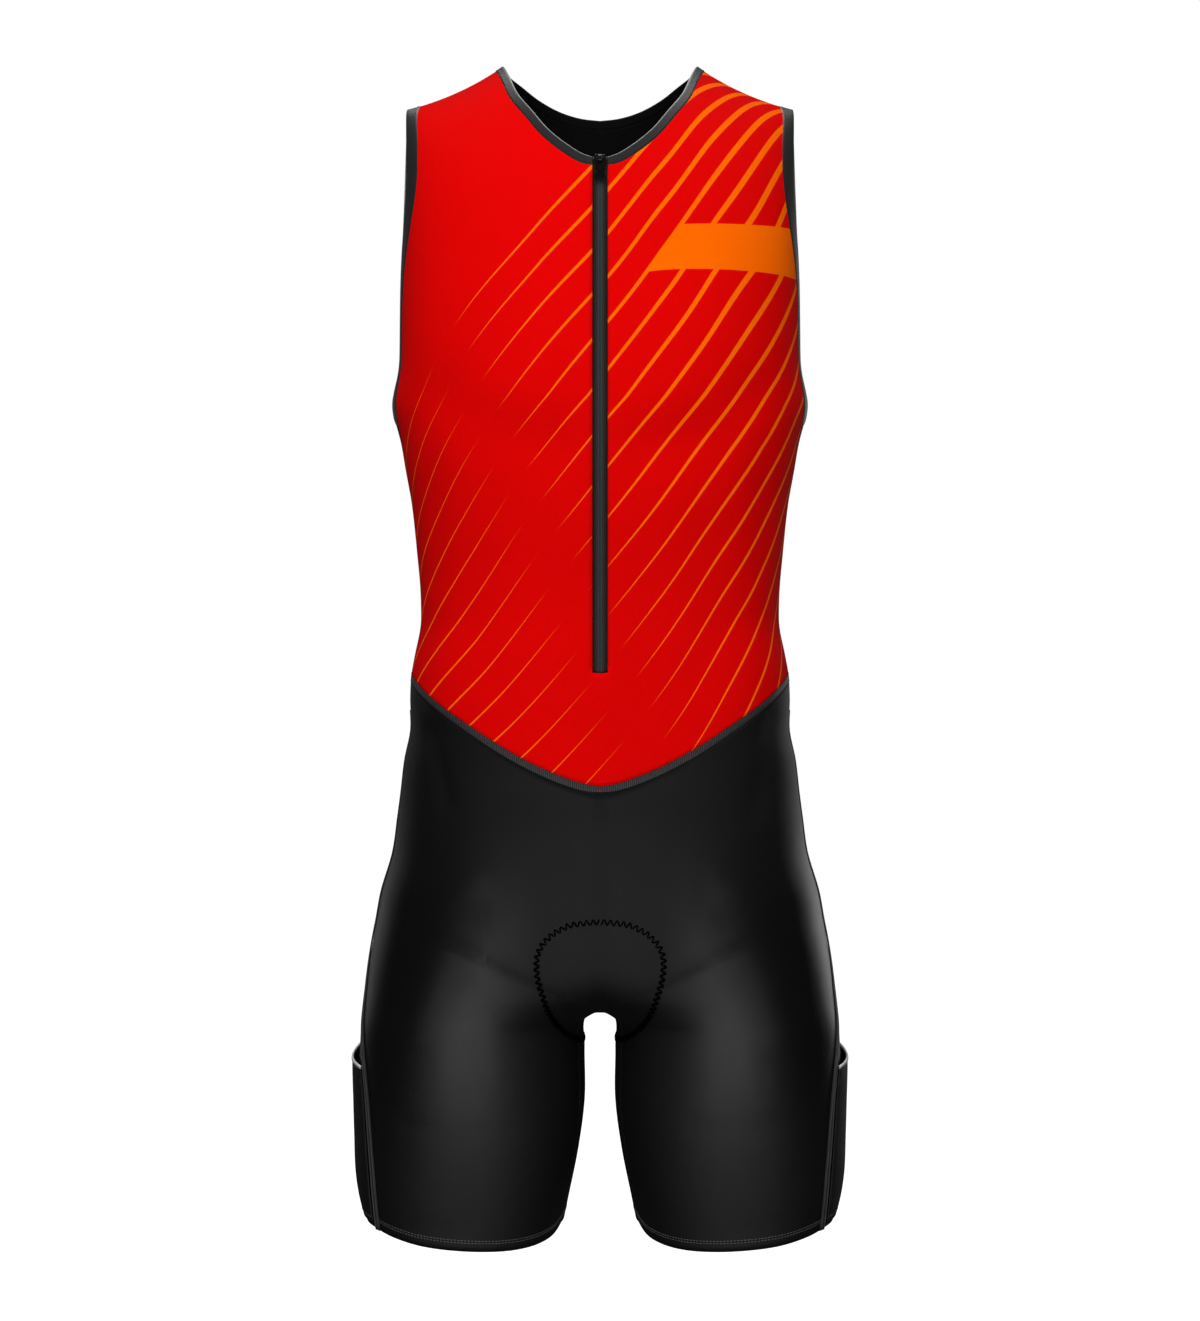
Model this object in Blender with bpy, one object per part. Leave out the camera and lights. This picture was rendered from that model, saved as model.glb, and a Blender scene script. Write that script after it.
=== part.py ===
# Sleeveless one-piece triathlon suit, filled out as worn, with nobody in it.
# Metres, +Z up, the front faces -Y, and the wearer's left side is +X. The origin is the
# point midway between the two shoulder straps, on the suit's centre plane.
import bpy
import bmesh
import math
import numpy as np

MM = 0.001

# Driving dimensions
CLOTH = 1.5 * MM                # wall of every cloth panel
SEAM_GAP = 0.3 * MM             # clear space between two sewn pieces
ARMPIT = -261 * MM              # height of the lowest point of the armholes
NECK_BINDING_WIDTH = 7.5 * MM
ARMHOLE_BINDING_WIDTH = 8.5 * MM
BINDING_WALL = 2.0 * MM
ZIP_HALF_WIDTH = 5.8 * MM
ZIP_BOTTOM = -474 * MM
WAIST_CENTRE = -560.6 * MM      # point of the V seam, at the centre front
WAIST_SIDE = -473.5 * MM        # V seam at the sides
WAIST_BACK = -486 * MM          # waist seam at the centre back
WAIST_BAND_WIDTH = 7 * MM
WAIST_CURVE = 1.45              # how sharply the V seam bends at its point
HEM_SIDE = -914 * MM
HEM_FRONT_DROP = 7.5 * MM       # how much lower the leg hems are at the front
SEAM_TAPE_WIDTH = 5.4 * MM
THIN_WALL = 1.0 * MM            # wall of the pieces that lie on a panel

# The figure that the suit fits, level by level (millimetres). leg_centre is how far each
# thigh's centre is from the centre plane, and split is 0 where the two thighs are one
# smooth form and 1 where they stand apart.
FIGURE_COLUMNS = ["height", "half_width", "front_depth", "back_depth", "leg_centre", "split"]
FIGURE = np.array([
    (-940, 183.0, 85.0, 84.0, 109.0, 1.00),
    (-921, 186.5, 86.5, 86.0, 108.7, 1.00),
    (-897, 190.0, 88.5, 88.0, 108.0, 1.00),
    (-861, 192.6, 90.0, 90.0, 105.6, 1.00),
    (-818, 193.8, 92.0, 94.0, 103.4, 1.00),
    (-776, 193.9, 95.0, 101.0, 103.2, 1.00),
    (-752, 192.4, 97.0, 108.0, 101.0, 0.97),
    (-740, 191.2, 98.0, 112.0, 97.0, 0.86),
    (-727, 189.8, 99.5, 116.5, 91.0, 0.66),
    (-709, 187.5, 101.0, 121.5, 82.0, 0.36),
    (-691, 184.9, 102.5, 125.0, 72.0, 0.12),
    (-672, 181.0, 103.5, 127.0, 60.0, 0.00),
    (-654, 177.6, 104.0, 127.0, 48.0, 0.00),
    (-618, 167.0, 104.5, 124.0, 24.0, 0.00),
    (-591, 162.4, 104.5, 119.0, 8.0, 0.00),
    (-572, 160.0, 104.0, 115.0, 0.0, 0.00),
    (-545, 157.0, 103.5, 109.5, 0.0, 0.00),
    (-520, 152.2, 102.5, 104.0, 0.0, 0.00),
    (-496, 153.0, 101.5, 99.0, 0.0, 0.00),
    (-473, 151.6, 101.0, 95.5, 0.0, 0.00),
    (-460, 149.2, 101.0, 94.0, 0.0, 0.00),
    (-435, 144.4, 101.0, 92.5, 0.0, 0.00),
    (-417, 144.3, 101.8, 92.5, 0.0, 0.00),
    (-375, 147.6, 105.5, 96.0, 0.0, 0.00),
    (-338, 151.6, 110.0, 102.0, 0.0, 0.00),
    (-302, 157.5, 114.0, 108.0, 0.0, 0.00),
    (-277, 160.2, 116.0, 111.0, 0.0, 0.00),
    (-261, 161.0, 116.5, 112.0, 0.0, 0.00),
    (-240, 161.2, 116.5, 112.0, 0.0, 0.00),
])
FULLNESS = 0.035                # how much squarer than an ellipse a level section is
BACK_SPREAD = 0.12              # how much the back widens behind the side line
SPREAD_START = -450 * MM        # level above which the back widens
SPREAD_RISE = 150 * MM
ARMHOLE_FLARE = 6.2 * MM        # how far the cloth stands out under the armhole
FLARE_REACH = 22 * MM
FLARE_NARROWNESS = 15
BODY_RADIUS = 110 * MM          # typical radius of the torso and hips
LEG_RADIUS = 95 * MM
SIDE_SEAM_ANGLE = 96            # torso's side seam (degrees), which comes forward under the arm
SIDE_SEAM_FORWARD = 11
SIDE_SEAM_REACH = 25 * MM

# Shoulder line: its height over the distance from the centre plane
SHOULDER_END = -34.1 * MM
SHOULDER_RISE = 194 * MM
SHOULDER_ROUND = 40 * MM
SHOULDER_FALL = 65 * MM
CLIMB = 400 * MM                # length of the height scale from armpit level to the shoulder line
SHOULDER_FULLNESS = 2.5

# Free edge of the neck, seen from the front and from the back (millimetres)
NECK_COLUMNS = ["across", "height"]
NECK_FRONT = np.array([
    (5.8, -76.6),
    (11.9, -74.4),
    (25.6, -65.4),
    (40.1, -52.2),
    (53.0, -35.1),
    (64.3, -19.0),
    (71.5, -1.5),
    (78.2, 16.2),
])
NECK_BACK = np.array([
    (0.0, -9.3),
    (16.4, -7.9),
    (33.6, -4.1),
    (51.3, 2.8),
    (66.0, 10.4),
    (78.2, 16.2),
])

# Free edge of an armhole: angles round the body from the centre front (degrees) at each
# share of the way up from the armpit to the shoulder line
ARMHOLE_COLUMNS = ["rise", "front_angle", "back_angle"]
ARMHOLE = np.array([
    (0.000, 86.0, 86.0),
    (0.006, 85.2, 88.6),
    (0.025, 84.6, 91.0),
    (0.070, 84.2, 93.0),
    (0.140, 83.8, 94.8),
    (0.240, 83.3, 96.8),
    (0.360, 82.0, 99.0),
    (0.480, 78.6, 102.0),
    (0.600, 74.2, 105.0),
    (0.720, 71.8, 106.3),
    (0.830, 72.0, 106.5),
    (0.920, 73.0, 106.0),
    (0.975, 74.0, 105.7),
    (0.998, 74.2, 105.8),
    (1.000, 74.2, 105.8),
])

# Thigh seams (millimetres): the side seam's angle round the leg from its front (degrees),
# and how far in front of and behind the leg's middle the inner panel reaches
LEG_SEAM_COLUMNS = ["height", "side_angle", "inner_front", "inner_back"]
LEG_SEAMS = np.array([
    (-930, 63.0, 22.0, 24.0),
    (-861, 62.0, 29.0, 32.0),
    (-800, 66.0, 34.0, 38.0),
    (-740, 74.0, 36.0, 40.0),
    (-680, 84.0, 36.0, 40.0),
    (-600, 90.0, 36.0, 40.0),
    (-470, 92.0, 36.0, 40.0),
])
RAY_AXIS_COLUMNS = ["height", "across"]
RAY_AXIS = np.array([
    (-930, 108.0),
    (-776, 103.2),
    (-740, 97.0),
    (-690, 82.0),
    (-600, 66.0),
    (-470, 60.0),
])
GAP_TOP = -764 * MM             # level of the axis that the crotch's arch is drawn round
SEAT_PAD_CENTRE = (0.0, 0.004, -0.7085)
SEAT_PAD_REACH = (0.037, 0.075, 0.0415)
CROTCH_BLEND = 2.5 * MM

FRONT_COLUMNS = 9
BACK_COLUMNS = 9
SIDE_ROWS = 9


def column(table, columns, name):
    """One column of a table, found by its name."""
    return table[:, columns.index(name)]


def read(table, columns, name, at):
    """Value of a table's column at any place between its rows, as a smooth curve."""
    keys = table[:, 0]
    values = column(table, columns, name)
    slopes = np.gradient(values, keys)
    at = np.clip(at, keys[0], keys[-1])
    row = np.clip(np.searchsorted(keys, at) - 1, 0, len(keys) - 2)
    step = keys[row + 1] - keys[row]
    s = (at - keys[row]) / step
    before = values[row] * (1 + 2 * s) * (1 - s) ** 2 + slopes[row] * step * s * (1 - s) ** 2
    after = values[row + 1] * (3 - 2 * s) * s ** 2 + slopes[row + 1] * step * (s - 1) * s ** 2
    return before + after


def figure(name, height):
    """A column of the figure table at a height, both in metres."""
    scale = 1 if name == "split" else MM
    return read(FIGURE, FIGURE_COLUMNS, name, np.asarray(height) / MM) * scale


def roundness(angle):
    """Radius of a level section against that of an ellipse with the same axes."""
    return 1 + FULLNESS * np.sin(2 * angle) ** 2


def shoulder_line(x):
    """Height of the shoulder line at a distance from the centre plane."""
    return SHOULDER_END + SHOULDER_RISE * np.exp(-np.hypot(x, SHOULDER_ROUND) / SHOULDER_FALL)


def torso_point(angle, height):
    """Point on the torso at an angle round it (0 at the front, pi at the back) and a height.

    Above the armpit the height scale goes on over the chest or the shoulder blade and ends
    on the shoulder line, where the front and the back meet."""
    angle, height = np.broadcast_arrays(np.asarray(angle, float), np.asarray(height, float))
    rise = np.sin(np.clip((height - ARMPIT) / CLIMB, 0, 1) * math.pi / 2)
    level = np.minimum(height, ARMPIT)
    forward = np.cos(angle)
    depth = np.where(forward > 0, figure("front_depth", level), figure("back_depth", level))
    depth = depth * np.sqrt(np.maximum(1 - rise ** SHOULDER_FULLNESS, 0))
    above_waist = np.clip((level - SPREAD_START) / SPREAD_RISE, 0, 1)
    spread = BACK_SPREAD * np.maximum(-forward, 0) * (1 - rise ** 4) * above_waist
    flare = ARMHOLE_FLARE * np.exp(-((height - ARMPIT) / FLARE_REACH) ** 2)
    flare = flare * np.sin(angle) ** FLARE_NARROWNESS
    x = figure("half_width", level) * np.sin(angle) * roundness(angle) * (1 + spread) + flare
    y = -depth * forward * roundness(angle)
    z = level + rise * (shoulder_line(x) - ARMPIT)
    return np.stack([x, y, z], axis=-1)


def torso_place(across, z, side):
    """Angle and height scale of the torso point that is seen at (across, z) from one side."""
    rise = np.clip((z - ARMPIT) / (shoulder_line(across) - ARMPIT), 0, 1)
    climb = np.arcsin(rise) * 2 / math.pi
    height = np.where(rise > 0, ARMPIT + climb * CLIMB, z)
    level = np.minimum(height, ARMPIT)
    angles = np.linspace(0, math.pi / 2, 400)
    shares = np.sin(angles) * roundness(angles)
    angle = np.interp(across / figure("half_width", level), shares, angles)
    if side > 0:
        spread = BACK_SPREAD * np.cos(angle) * (1 - rise ** 4)
        angle = np.interp(across / figure("half_width", level) / (1 + spread), shares, angles)
        angle = math.pi - angle
    return angle, height


def outside(x, y, z):
    """Distance, roughly, from a point to the hips and thighs: negative inside them."""
    centre = figure("leg_centre", z)
    half = figure("half_width", z) - centre
    depth = np.where(y < 0, figure("front_depth", z), figure("back_depth", z))
    offset = np.abs(x) - centre
    offset = np.where(offset < 0, offset * figure("split", z), offset)
    angle = np.arctan2(offset / half, -y / depth)
    body = (np.hypot(offset / half, y / depth) / roundness(angle) - 1) * np.minimum(half, depth)
    steps = [(value - middle) / reach
             for value, middle, reach in zip((x, y, z), SEAT_PAD_CENTRE, SEAT_PAD_REACH)]
    pad = (np.sqrt(sum(step ** 2 for step in steps)) - 1) * min(SEAT_PAD_REACH)
    mix = np.clip(0.5 + 0.5 * (pad - body) / CROTCH_BLEND, 0, 1)
    return pad * (1 - mix) + body * mix - CROTCH_BLEND * mix * (1 - mix)


HALVINGS = 24


def shoot(start, direction, reach=0.34, steps=110, leaving=True):
    """Points where rays from start first leave the figure, or first meet it."""
    start = np.asarray(start, float)
    direction = np.asarray(direction, float)
    sign = 1 if leaving else -1
    near = np.zeros(start.shape[:-1])
    found = np.zeros(near.shape, bool)
    for distance in np.linspace(0, reach, steps)[1:]:
        spot = start + direction * distance
        crossed = sign * outside(spot[..., 0], spot[..., 1], spot[..., 2]) > 0
        found |= crossed
        near = np.where(found, near, distance)
    far = near + reach / (steps - 1)
    for halving in range(HALVINGS):
        middle = (near + far) / 2
        spot = start + direction * middle[..., None]
        crossed = sign * outside(spot[..., 0], spot[..., 1], spot[..., 2]) > 0
        far = np.where(crossed, middle, far)
        near = np.where(crossed, near, middle)
    return start + direction * near[..., None]


def leg_axis(z):
    return read(RAY_AXIS, RAY_AXIS_COLUMNS, "across", np.asarray(z) / MM) * MM


def leg_point(angle, z):
    """Point on the shorts at an angle round the wearer's left leg (0 at the front, 90 degrees
    at the outer side, negative toward the centre) and a height."""
    angle, z = np.broadcast_arrays(np.asarray(angle, float), np.asarray(z, float))
    start = np.stack([leg_axis(z), 0 * z, z], axis=-1)
    direction = np.stack([np.sin(angle), -np.cos(angle), 0 * z], axis=-1)
    return shoot(start, direction)


def leg_angle(point, forward=True):
    """Angle round the leg at which a point is seen from the leg's axis. Behind the leg it
    runs on past 180 degrees."""
    angle = np.arctan2(point[..., 0] - leg_axis(point[..., 2]), -point[..., 1])
    return angle if forward else angle % (2 * math.pi)


def inner_point(way, y):
    """Point on the crotch and inner thigh, found from inside the gap between the legs.

    way runs from 0 at the middle of the crotch to 1 where the inner thigh starts, and from
    there on in metres down the thigh, plus 1."""
    way, y = np.broadcast_arrays(np.asarray(way, float), np.asarray(y, float))
    tilt = np.clip(way, 0, 1) * math.pi / 2
    start = np.stack([0 * way, y, GAP_TOP - np.maximum(way - 1, 0)], axis=-1)
    direction = np.stack([np.sin(tilt), 0 * way, np.cos(tilt)], axis=-1)
    return shoot(start, direction, reach=0.11, leaving=False)


def waist_seam(angle):
    """Height of the V-shaped waist seam at an angle round the torso."""
    front = WAIST_CENTRE + (WAIST_SIDE - WAIST_CENTRE) * np.abs(np.sin(angle)) ** WAIST_CURVE
    back = WAIST_SIDE + (WAIST_BACK - WAIST_SIDE) * np.cos(angle) ** 2
    return np.where(np.cos(angle) > 0, front, back)


def hem_height(angle):
    """Height of the leg's hem at an angle round the leg."""
    return HEM_SIDE - HEM_FRONT_DROP * np.maximum(np.cos(angle), 0) ** 3


def side_seam(height):
    """Angle of the torso's side seam, which comes forward just under the armhole."""
    near = np.exp(-((height - ARMPIT) / SIDE_SEAM_REACH) ** 2)
    return np.radians(SIDE_SEAM_ANGLE - SIDE_SEAM_FORWARD * near)


def inset(place, angle, height, distance):
    """Moves an edge, given as angles and heights, sideways within the surface."""
    nudge = 1e-5
    here = place(angle, height)
    by_angle = (place(angle + nudge, height) - place(angle - nudge, height)) / (2 * nudge)
    by_height = (place(angle, height + nudge) - place(angle, height - nudge)) / (2 * nudge)
    normal = np.cross(by_angle, by_height)
    normal /= np.linalg.norm(normal, axis=-1, keepdims=True)
    along = np.gradient(here, axis=0)
    aside = np.cross(normal, along)
    aside *= distance / np.linalg.norm(aside, axis=-1, keepdims=True)
    moved_angle = np.empty_like(angle)
    moved_height = np.empty_like(height)
    for i in range(len(angle)):
        frame = np.stack([by_angle[i], by_height[i]], axis=1)
        shift = np.linalg.lstsq(frame, aside[i], rcond=None)[0]
        moved_angle[i] = angle[i] + shift[0]
        moved_height[i] = height[i] + shift[1]
    return moved_angle, moved_height


def spaced(table, shares):
    """Points at the given shares of the length of the smooth curve through a neck table's
    rows, in metres."""
    steps = np.linalg.norm(np.diff(table, axis=0), axis=1)
    lengths = np.concatenate([[0], np.cumsum(steps)])
    with_lengths = np.column_stack([lengths, table])
    names = ["length"] + NECK_COLUMNS
    return [read(with_lengths, names, name, shares * lengths[-1]) * MM for name in NECK_COLUMNS]


def moved_out(points, distance):
    """A grid of points moved along the normals of the surface that they make."""
    across = np.gradient(points, axis=1)
    down = np.gradient(points, axis=0)
    normal = np.cross(across, down)
    normal /= np.linalg.norm(normal, axis=-1, keepdims=True)
    return points + normal * distance


def material(name, colour, roughness, metallic=0.0):
    """Plain material with its colour, roughness and metallic value."""
    finish = bpy.data.materials.new(name)
    finish.use_nodes = True
    shader = finish.node_tree.nodes["Principled BSDF"]
    shader.inputs["Base Color"].default_value = (*colour, 1)
    shader.inputs["Roughness"].default_value = roughness
    shader.inputs["Metallic"].default_value = metallic
    finish.diffuse_color = (*colour, 1)
    return finish


def add_object(name, bm, finish):
    """Makes a named object of a bmesh, shaded smooth up to 40 degrees."""
    mesh = bpy.data.meshes.new(name)
    bm.to_mesh(mesh)
    bm.free()
    mesh.shade_smooth()
    mesh.set_sharp_from_angle(angle=math.radians(40))
    mesh.materials.append(finish)
    piece = bpy.data.objects.new(name, mesh)
    bpy.context.scene.collection.objects.link(piece)
    return piece


def cloth(name, points, wall, finish, mirrored=False, side=1, cut=None):
    """Sews one cloth piece: a grid of points, given a wall. The grid's rows and columns run
    so that it faces out. mirrored adds its other half across the centre plane, side -1 makes
    the wearer's right piece, and cut marks the grid's squares that are left open."""
    rows, columns = points.shape[:2]
    bm = bmesh.new()
    bmesh.ops.create_grid(bm, x_segments=columns - 1, y_segments=rows - 1, size=0.5)
    places = {}
    for vert in bm.verts:
        row = round((vert.co.y + 0.5) * (rows - 1))
        column = round((vert.co.x + 0.5) * (columns - 1))
        places[vert] = points[row, column]
    if cut is not None:
        gone = []
        for face in bm.faces:
            middle = face.calc_center_median()
            row = int((middle.y + 0.5) * (rows - 1))
            column = int((middle.x + 0.5) * (columns - 1))
            if cut[row, column]:
                gone.append(face)
        bmesh.ops.delete(bm, geom=gone, context="FACES")
    for vert in bm.verts:
        x, y, z = places[vert]
        vert.co = (x * side, y, z)
    bmesh.ops.remove_doubles(bm, verts=bm.verts, dist=1e-6)
    if side < 0:
        bmesh.ops.reverse_faces(bm, faces=bm.faces)
    piece = add_object(name, bm, finish)
    if mirrored:
        mirror = piece.modifiers.new("other half", "MIRROR")
        mirror.merge_threshold = 1e-5
    solidify = piece.modifiers.new("wall", "SOLIDIFY")
    solidify.thickness = wall
    solidify.offset = 0
    return piece


for thing in list(bpy.data.objects):
    bpy.data.objects.remove(thing)

RED_KNIT = material("red knit", (0.72, 0.0, 0.0), 0.75)
BLACK_KNIT = material("black knit", (0.012, 0.012, 0.013), 0.7)
BLACK_SATIN = material("black satin knit", (0.02, 0.02, 0.021), 0.5)
BINDING_ELASTIC = material("binding elastic", (0.03, 0.03, 0.032), 0.55)
SEAM_TAPE = material("seam tape", (0.02, 0.02, 0.022), 0.6)
ZIP_TAPE = material("zip tape", (0.03, 0.03, 0.032), 0.6)
PAD_FOAM = material("pad", (0.05, 0.05, 0.055), 0.9)
ZIP_METAL = material("painted zip metal", (0.015, 0.015, 0.016), 0.35)

# ---- Edges that the pieces share ------------------------------------------------------

SHOULDER = ARMPIT + CLIMB - 0.6 * MM    # just short of the line where front and back meet
HALF_GAP = SEAM_GAP / 2
TORSO_ROWS = SIDE_ROWS + len(ARMHOLE) - 1
SLOT_ROW = 3                    # first torso row beside the zip
NECK_SAMPLES = 10               # rows of the front that end on the neck, from the zip up
BACK_NECK_SAMPLES = 8
NEAR_SHOULDER = 0.98            # share of the neck's edge at the row just below the shoulder


def slot_angle(height, x=ZIP_HALF_WIDTH + HALF_GAP):
    """Angle of the zip's edge on the torso."""
    return np.arcsin(x / figure("half_width", np.minimum(height, ARMPIT)))


def neck_edge(distance):
    """Angles and heights of the neck's edge, moved from its free edge into the cloth, for
    the front half and the back half, each from the centre plane or zip to the shoulder."""
    edges = []
    for table, count, side in ((NECK_FRONT, NECK_SAMPLES, -1), (NECK_BACK, BACK_NECK_SAMPLES, 1)):
        shares = np.append(np.linspace(0, 1, count - 1), NEAR_SHOULDER)
        across, height = spaced(table, np.sort(shares))
        angle, height = torso_place(across, height, side)
        height[-1] = SHOULDER
        if distance > 0:
            angle, height = inset(torso_point, angle, height, side * distance)
            height[-1] = SHOULDER
        edges.append((angle, height))
    edges[0][0][0] = slot_angle(edges[0][1][0])
    edges[1][0][0] = math.pi
    return edges


def armhole_edge(distance):
    """Angles and heights of the armhole's edge, from the shoulder down its front, round the
    armpit and up its back, moved from the free edge into the cloth."""
    climb = np.arcsin(column(ARMHOLE, ARMHOLE_COLUMNS, "rise")) * 2 / math.pi
    height = ARMPIT + climb * CLIMB
    front = np.radians(column(ARMHOLE, ARMHOLE_COLUMNS, "front_angle"))
    back = np.radians(column(ARMHOLE, ARMHOLE_COLUMNS, "back_angle"))
    angle = np.concatenate([front[::-1], back[1:]])
    height = np.concatenate([height[::-1], height[1:]])
    if distance > 0:
        angle, height = inset(torso_point, angle, height, -distance)
        height[0] = SHOULDER
        height[-1] = SHOULDER
    return angle, height


def torso_rows(edge_angle, edge_height, centre_angle, centre_height, shares):
    """Grid of torso points between a centre edge and a side edge, one row per pair of ends.
    The lowest row follows the waist seam, and that bend fades upward."""
    rows = len(edge_angle)
    angle = centre_angle[:, None] + (edge_angle - centre_angle)[:, None] * shares
    height = centre_height[:, None] + (edge_height - centre_height)[:, None] * shares
    fade = np.linspace(1, 0, rows)[:, None] ** 1.5
    bend = waist_seam(angle[0]) + HALF_GAP - height[0]
    return angle, height + fade * bend


armhole_bottom = len(ARMHOLE) - 1
arm_angle, arm_height = armhole_edge(ARMHOLE_BINDING_WIDTH + SEAM_GAP)
neck_front, neck_back = neck_edge(NECK_BINDING_WIDTH + SEAM_GAP)
TRIM = HALF_GAP / BODY_RADIUS    # angle of half a seam gap, round the torso or a leg

side_heights = np.linspace(WAIST_SIDE + HALF_GAP, arm_height[armhole_bottom], SIDE_ROWS + 1)[:-1]

# ---- Torso: front and back ------------------------------------------------------------

front_side_angle = np.concatenate([side_seam(side_heights), arm_angle[armhole_bottom::-1]]) - TRIM
front_side_height = np.concatenate([side_heights, arm_height[armhole_bottom::-1]])
slot_rows = TORSO_ROWS - SLOT_ROW - NECK_SAMPLES + 2
below_slot = np.linspace(WAIST_CENTRE + HALF_GAP, ZIP_BOTTOM, SLOT_ROW + 1)[:-1]
beside_slot = np.linspace(ZIP_BOTTOM, neck_front[1][0], slot_rows)
slot_heights = np.concatenate([below_slot, beside_slot[:-1]])
slot_heights[0] = waist_seam(slot_angle(WAIST_CENTRE)) + HALF_GAP
front_centre_angle = np.concatenate([slot_angle(slot_heights), neck_front[0]])
front_centre_height = np.concatenate([slot_heights, neck_front[1]])
front_centre_height[-1] = SHOULDER
front_shares = np.linspace(0, 1, FRONT_COLUMNS + 1)
angle, height = torso_rows(front_side_angle, front_side_height, front_centre_angle,
                           front_centre_height, front_shares)
strip_height = np.concatenate([below_slot, [ZIP_BOTTOM], beside_slot[1:-1], neck_front[1]])
angle = np.column_stack([np.zeros(TORSO_ROWS + 1), angle])
height = np.column_stack([strip_height, height])
height[0, 0] = WAIST_CENTRE + HALF_GAP
seam_angles = angle[0]
cut = np.zeros((TORSO_ROWS, FRONT_COLUMNS + 1), bool)
cut[SLOT_ROW:, 0] = True
cloth("torso_front", torso_point(angle, height), CLOTH, RED_KNIT, mirrored=True, cut=cut)

back_side_angle = np.concatenate([side_seam(side_heights), arm_angle[armhole_bottom:]]) + TRIM
back_side_height = np.concatenate([side_heights, arm_height[armhole_bottom:]])
back_rows = TORSO_ROWS + 2 - BACK_NECK_SAMPLES
centre_back = np.linspace(WAIST_BACK + HALF_GAP, neck_back[1][0], back_rows)[:-1]
back_centre_angle = np.concatenate([np.full(back_rows - 1, math.pi), neck_back[0]])
back_centre_height = np.concatenate([centre_back, neck_back[1]])
back_shares = np.linspace(1, 0, BACK_COLUMNS + 1)
angle, height = torso_rows(back_side_angle, back_side_height, back_centre_angle,
                           back_centre_height, back_shares)
back_seam_angles = angle[0]
cloth("torso_back", torso_point(angle, height), CLOTH, BLACK_KNIT, mirrored=True)

# ---- Bindings of the neck and the armholes --------------------------------------------

rims = []
for distance in (0, NECK_BINDING_WIDTH):
    front_part, back_part = neck_edge(distance)
    over = torso_point(*front_part)
    behind = torso_point(*back_part)[::-1]
    rims.append(np.concatenate([over, behind[1:]]))
cloth("neck_binding", np.stack(rims[::-1]), BINDING_WALL, BINDING_ELASTIC, mirrored=True)

rims = []
for distance in (0, ARMHOLE_BINDING_WIDTH):
    rim = torso_point(*armhole_edge(distance))
    rim[-1] = rim[0]
    rims.append(rim)
for side, word in ((1, "left"), (-1, "right")):
    cloth("armhole_binding_" + word, np.stack(rims), BINDING_WALL, BINDING_ELASTIC, side=side)

# ---- Waist band over the V seam -------------------------------------------------------

for word, angles in (("front", seam_angles), ("back", back_seam_angles)):
    top = waist_seam(angles) - HALF_GAP
    rows = [torso_point(angles, top - WAIST_BAND_WIDTH + SEAM_GAP), torso_point(angles, top)]
    cloth("waist_band_" + word, np.stack(rows), CLOTH + 0.3 * MM, SEAM_TAPE, mirrored=True)

# ---- Shorts: front, back and the inner panel through the crotch -----------------------

CENTRE_ROWS = 7
ARCH_WAYS = np.array([0.0, 0.25, 0.42, 0.62, 1.0])
THIGH_ROWS = 6
SHORTS_ROWS = CENTRE_ROWS + len(ARCH_WAYS) - 1 + THIGH_ROWS

thigh_drop = GAP_TOP - HEM_SIDE
thigh_ways = 1 + np.linspace(0, thigh_drop, THIGH_ROWS + 1)[1:]
inner_ways = np.concatenate([ARCH_WAYS, thigh_ways])
way_heights = GAP_TOP - np.maximum(inner_ways - 1, 0)


def inner_reach(name):
    """How far the inner panel reaches forward or back, at each of its rows."""
    return read(LEG_SEAMS, LEG_SEAM_COLUMNS, name, way_heights / MM) * MM


def blend(top, bottom, first, last):
    """Grid filled in between four edges: top and bottom rows, first and last columns."""
    u = np.linspace(0, 1, len(top))[None, :]
    v = np.linspace(0, 1, len(first))[:, None]
    across = top[None, :] * (1 - v) + bottom[None, :] * v
    down = first[:, None] * (1 - u) + last[:, None] * u
    corners = (top[0] * (1 - u) + top[-1] * u) * (1 - v) + (bottom[0] * (1 - u) + bottom[-1] * u) * v
    return across + down - corners


def leg_side(top_angle, top_height):
    """Angles and heights down a leg's side seam, from the waist to the hem."""
    hem_angle = np.radians(read(LEG_SEAMS, LEG_SEAM_COLUMNS, "side_angle", HEM_SIDE / MM))
    heights = np.linspace(top_height, hem_height(hem_angle), SHORTS_ROWS + 1)
    angles = np.radians(read(LEG_SEAMS, LEG_SEAM_COLUMNS, "side_angle", heights / MM))
    fade = np.linspace(1, 0, SHORTS_ROWS + 1) ** 3
    return angles + (top_angle - angles[0]) * fade, heights


def shorts_half(seam_angle, forward, trim):
    """Half of the shorts' front or back: points from the side seam to the centre, and below
    the crotch to the inner panel."""
    top = torso_point(seam_angle, waist_seam(seam_angle) - WAIST_BAND_WIDTH - HALF_GAP)
    reach = inner_reach("inner_front") if forward else inner_reach("inner_back")
    ahead = -1 if forward else 1
    seam = inner_point(inner_ways, ahead * (reach + HALF_GAP))
    ease = np.sin(np.linspace(0, 1, CENTRE_ROWS + 1)[:-1] * math.pi / 2)
    centre_z = top[-1, 2] + (seam[0, 2] - top[-1, 2]) * ease
    middle = np.stack([0 * centre_z, 0 * centre_z, centre_z], axis=-1)
    inner = np.concatenate([shoot(middle, np.array([0, ahead, 0])), seam])
    inner[0] = top[-1]
    top_angle = leg_angle(top, forward)
    inner_angle = leg_angle(inner, forward)
    side_angle, side_z = leg_side(top_angle[0], top[0, 2])
    side_angle = side_angle + trim
    top_angle[0] = side_angle[0]
    hem_angle = np.linspace(side_angle[-1], inner_angle[-1], len(seam_angle))
    hem_z = hem_height(hem_angle)
    side_z[-1] = hem_z[0]
    inner_z = inner[:, 2]
    hem_z[-1] = inner_z[-1]
    angles = blend(top_angle, hem_angle, side_angle, inner_angle)
    heights = blend(top[:, 2], hem_z, side_z, inner_z)
    points = leg_point(angles, heights)
    points[0] = top
    points[:, -1] = inner
    return points


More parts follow.
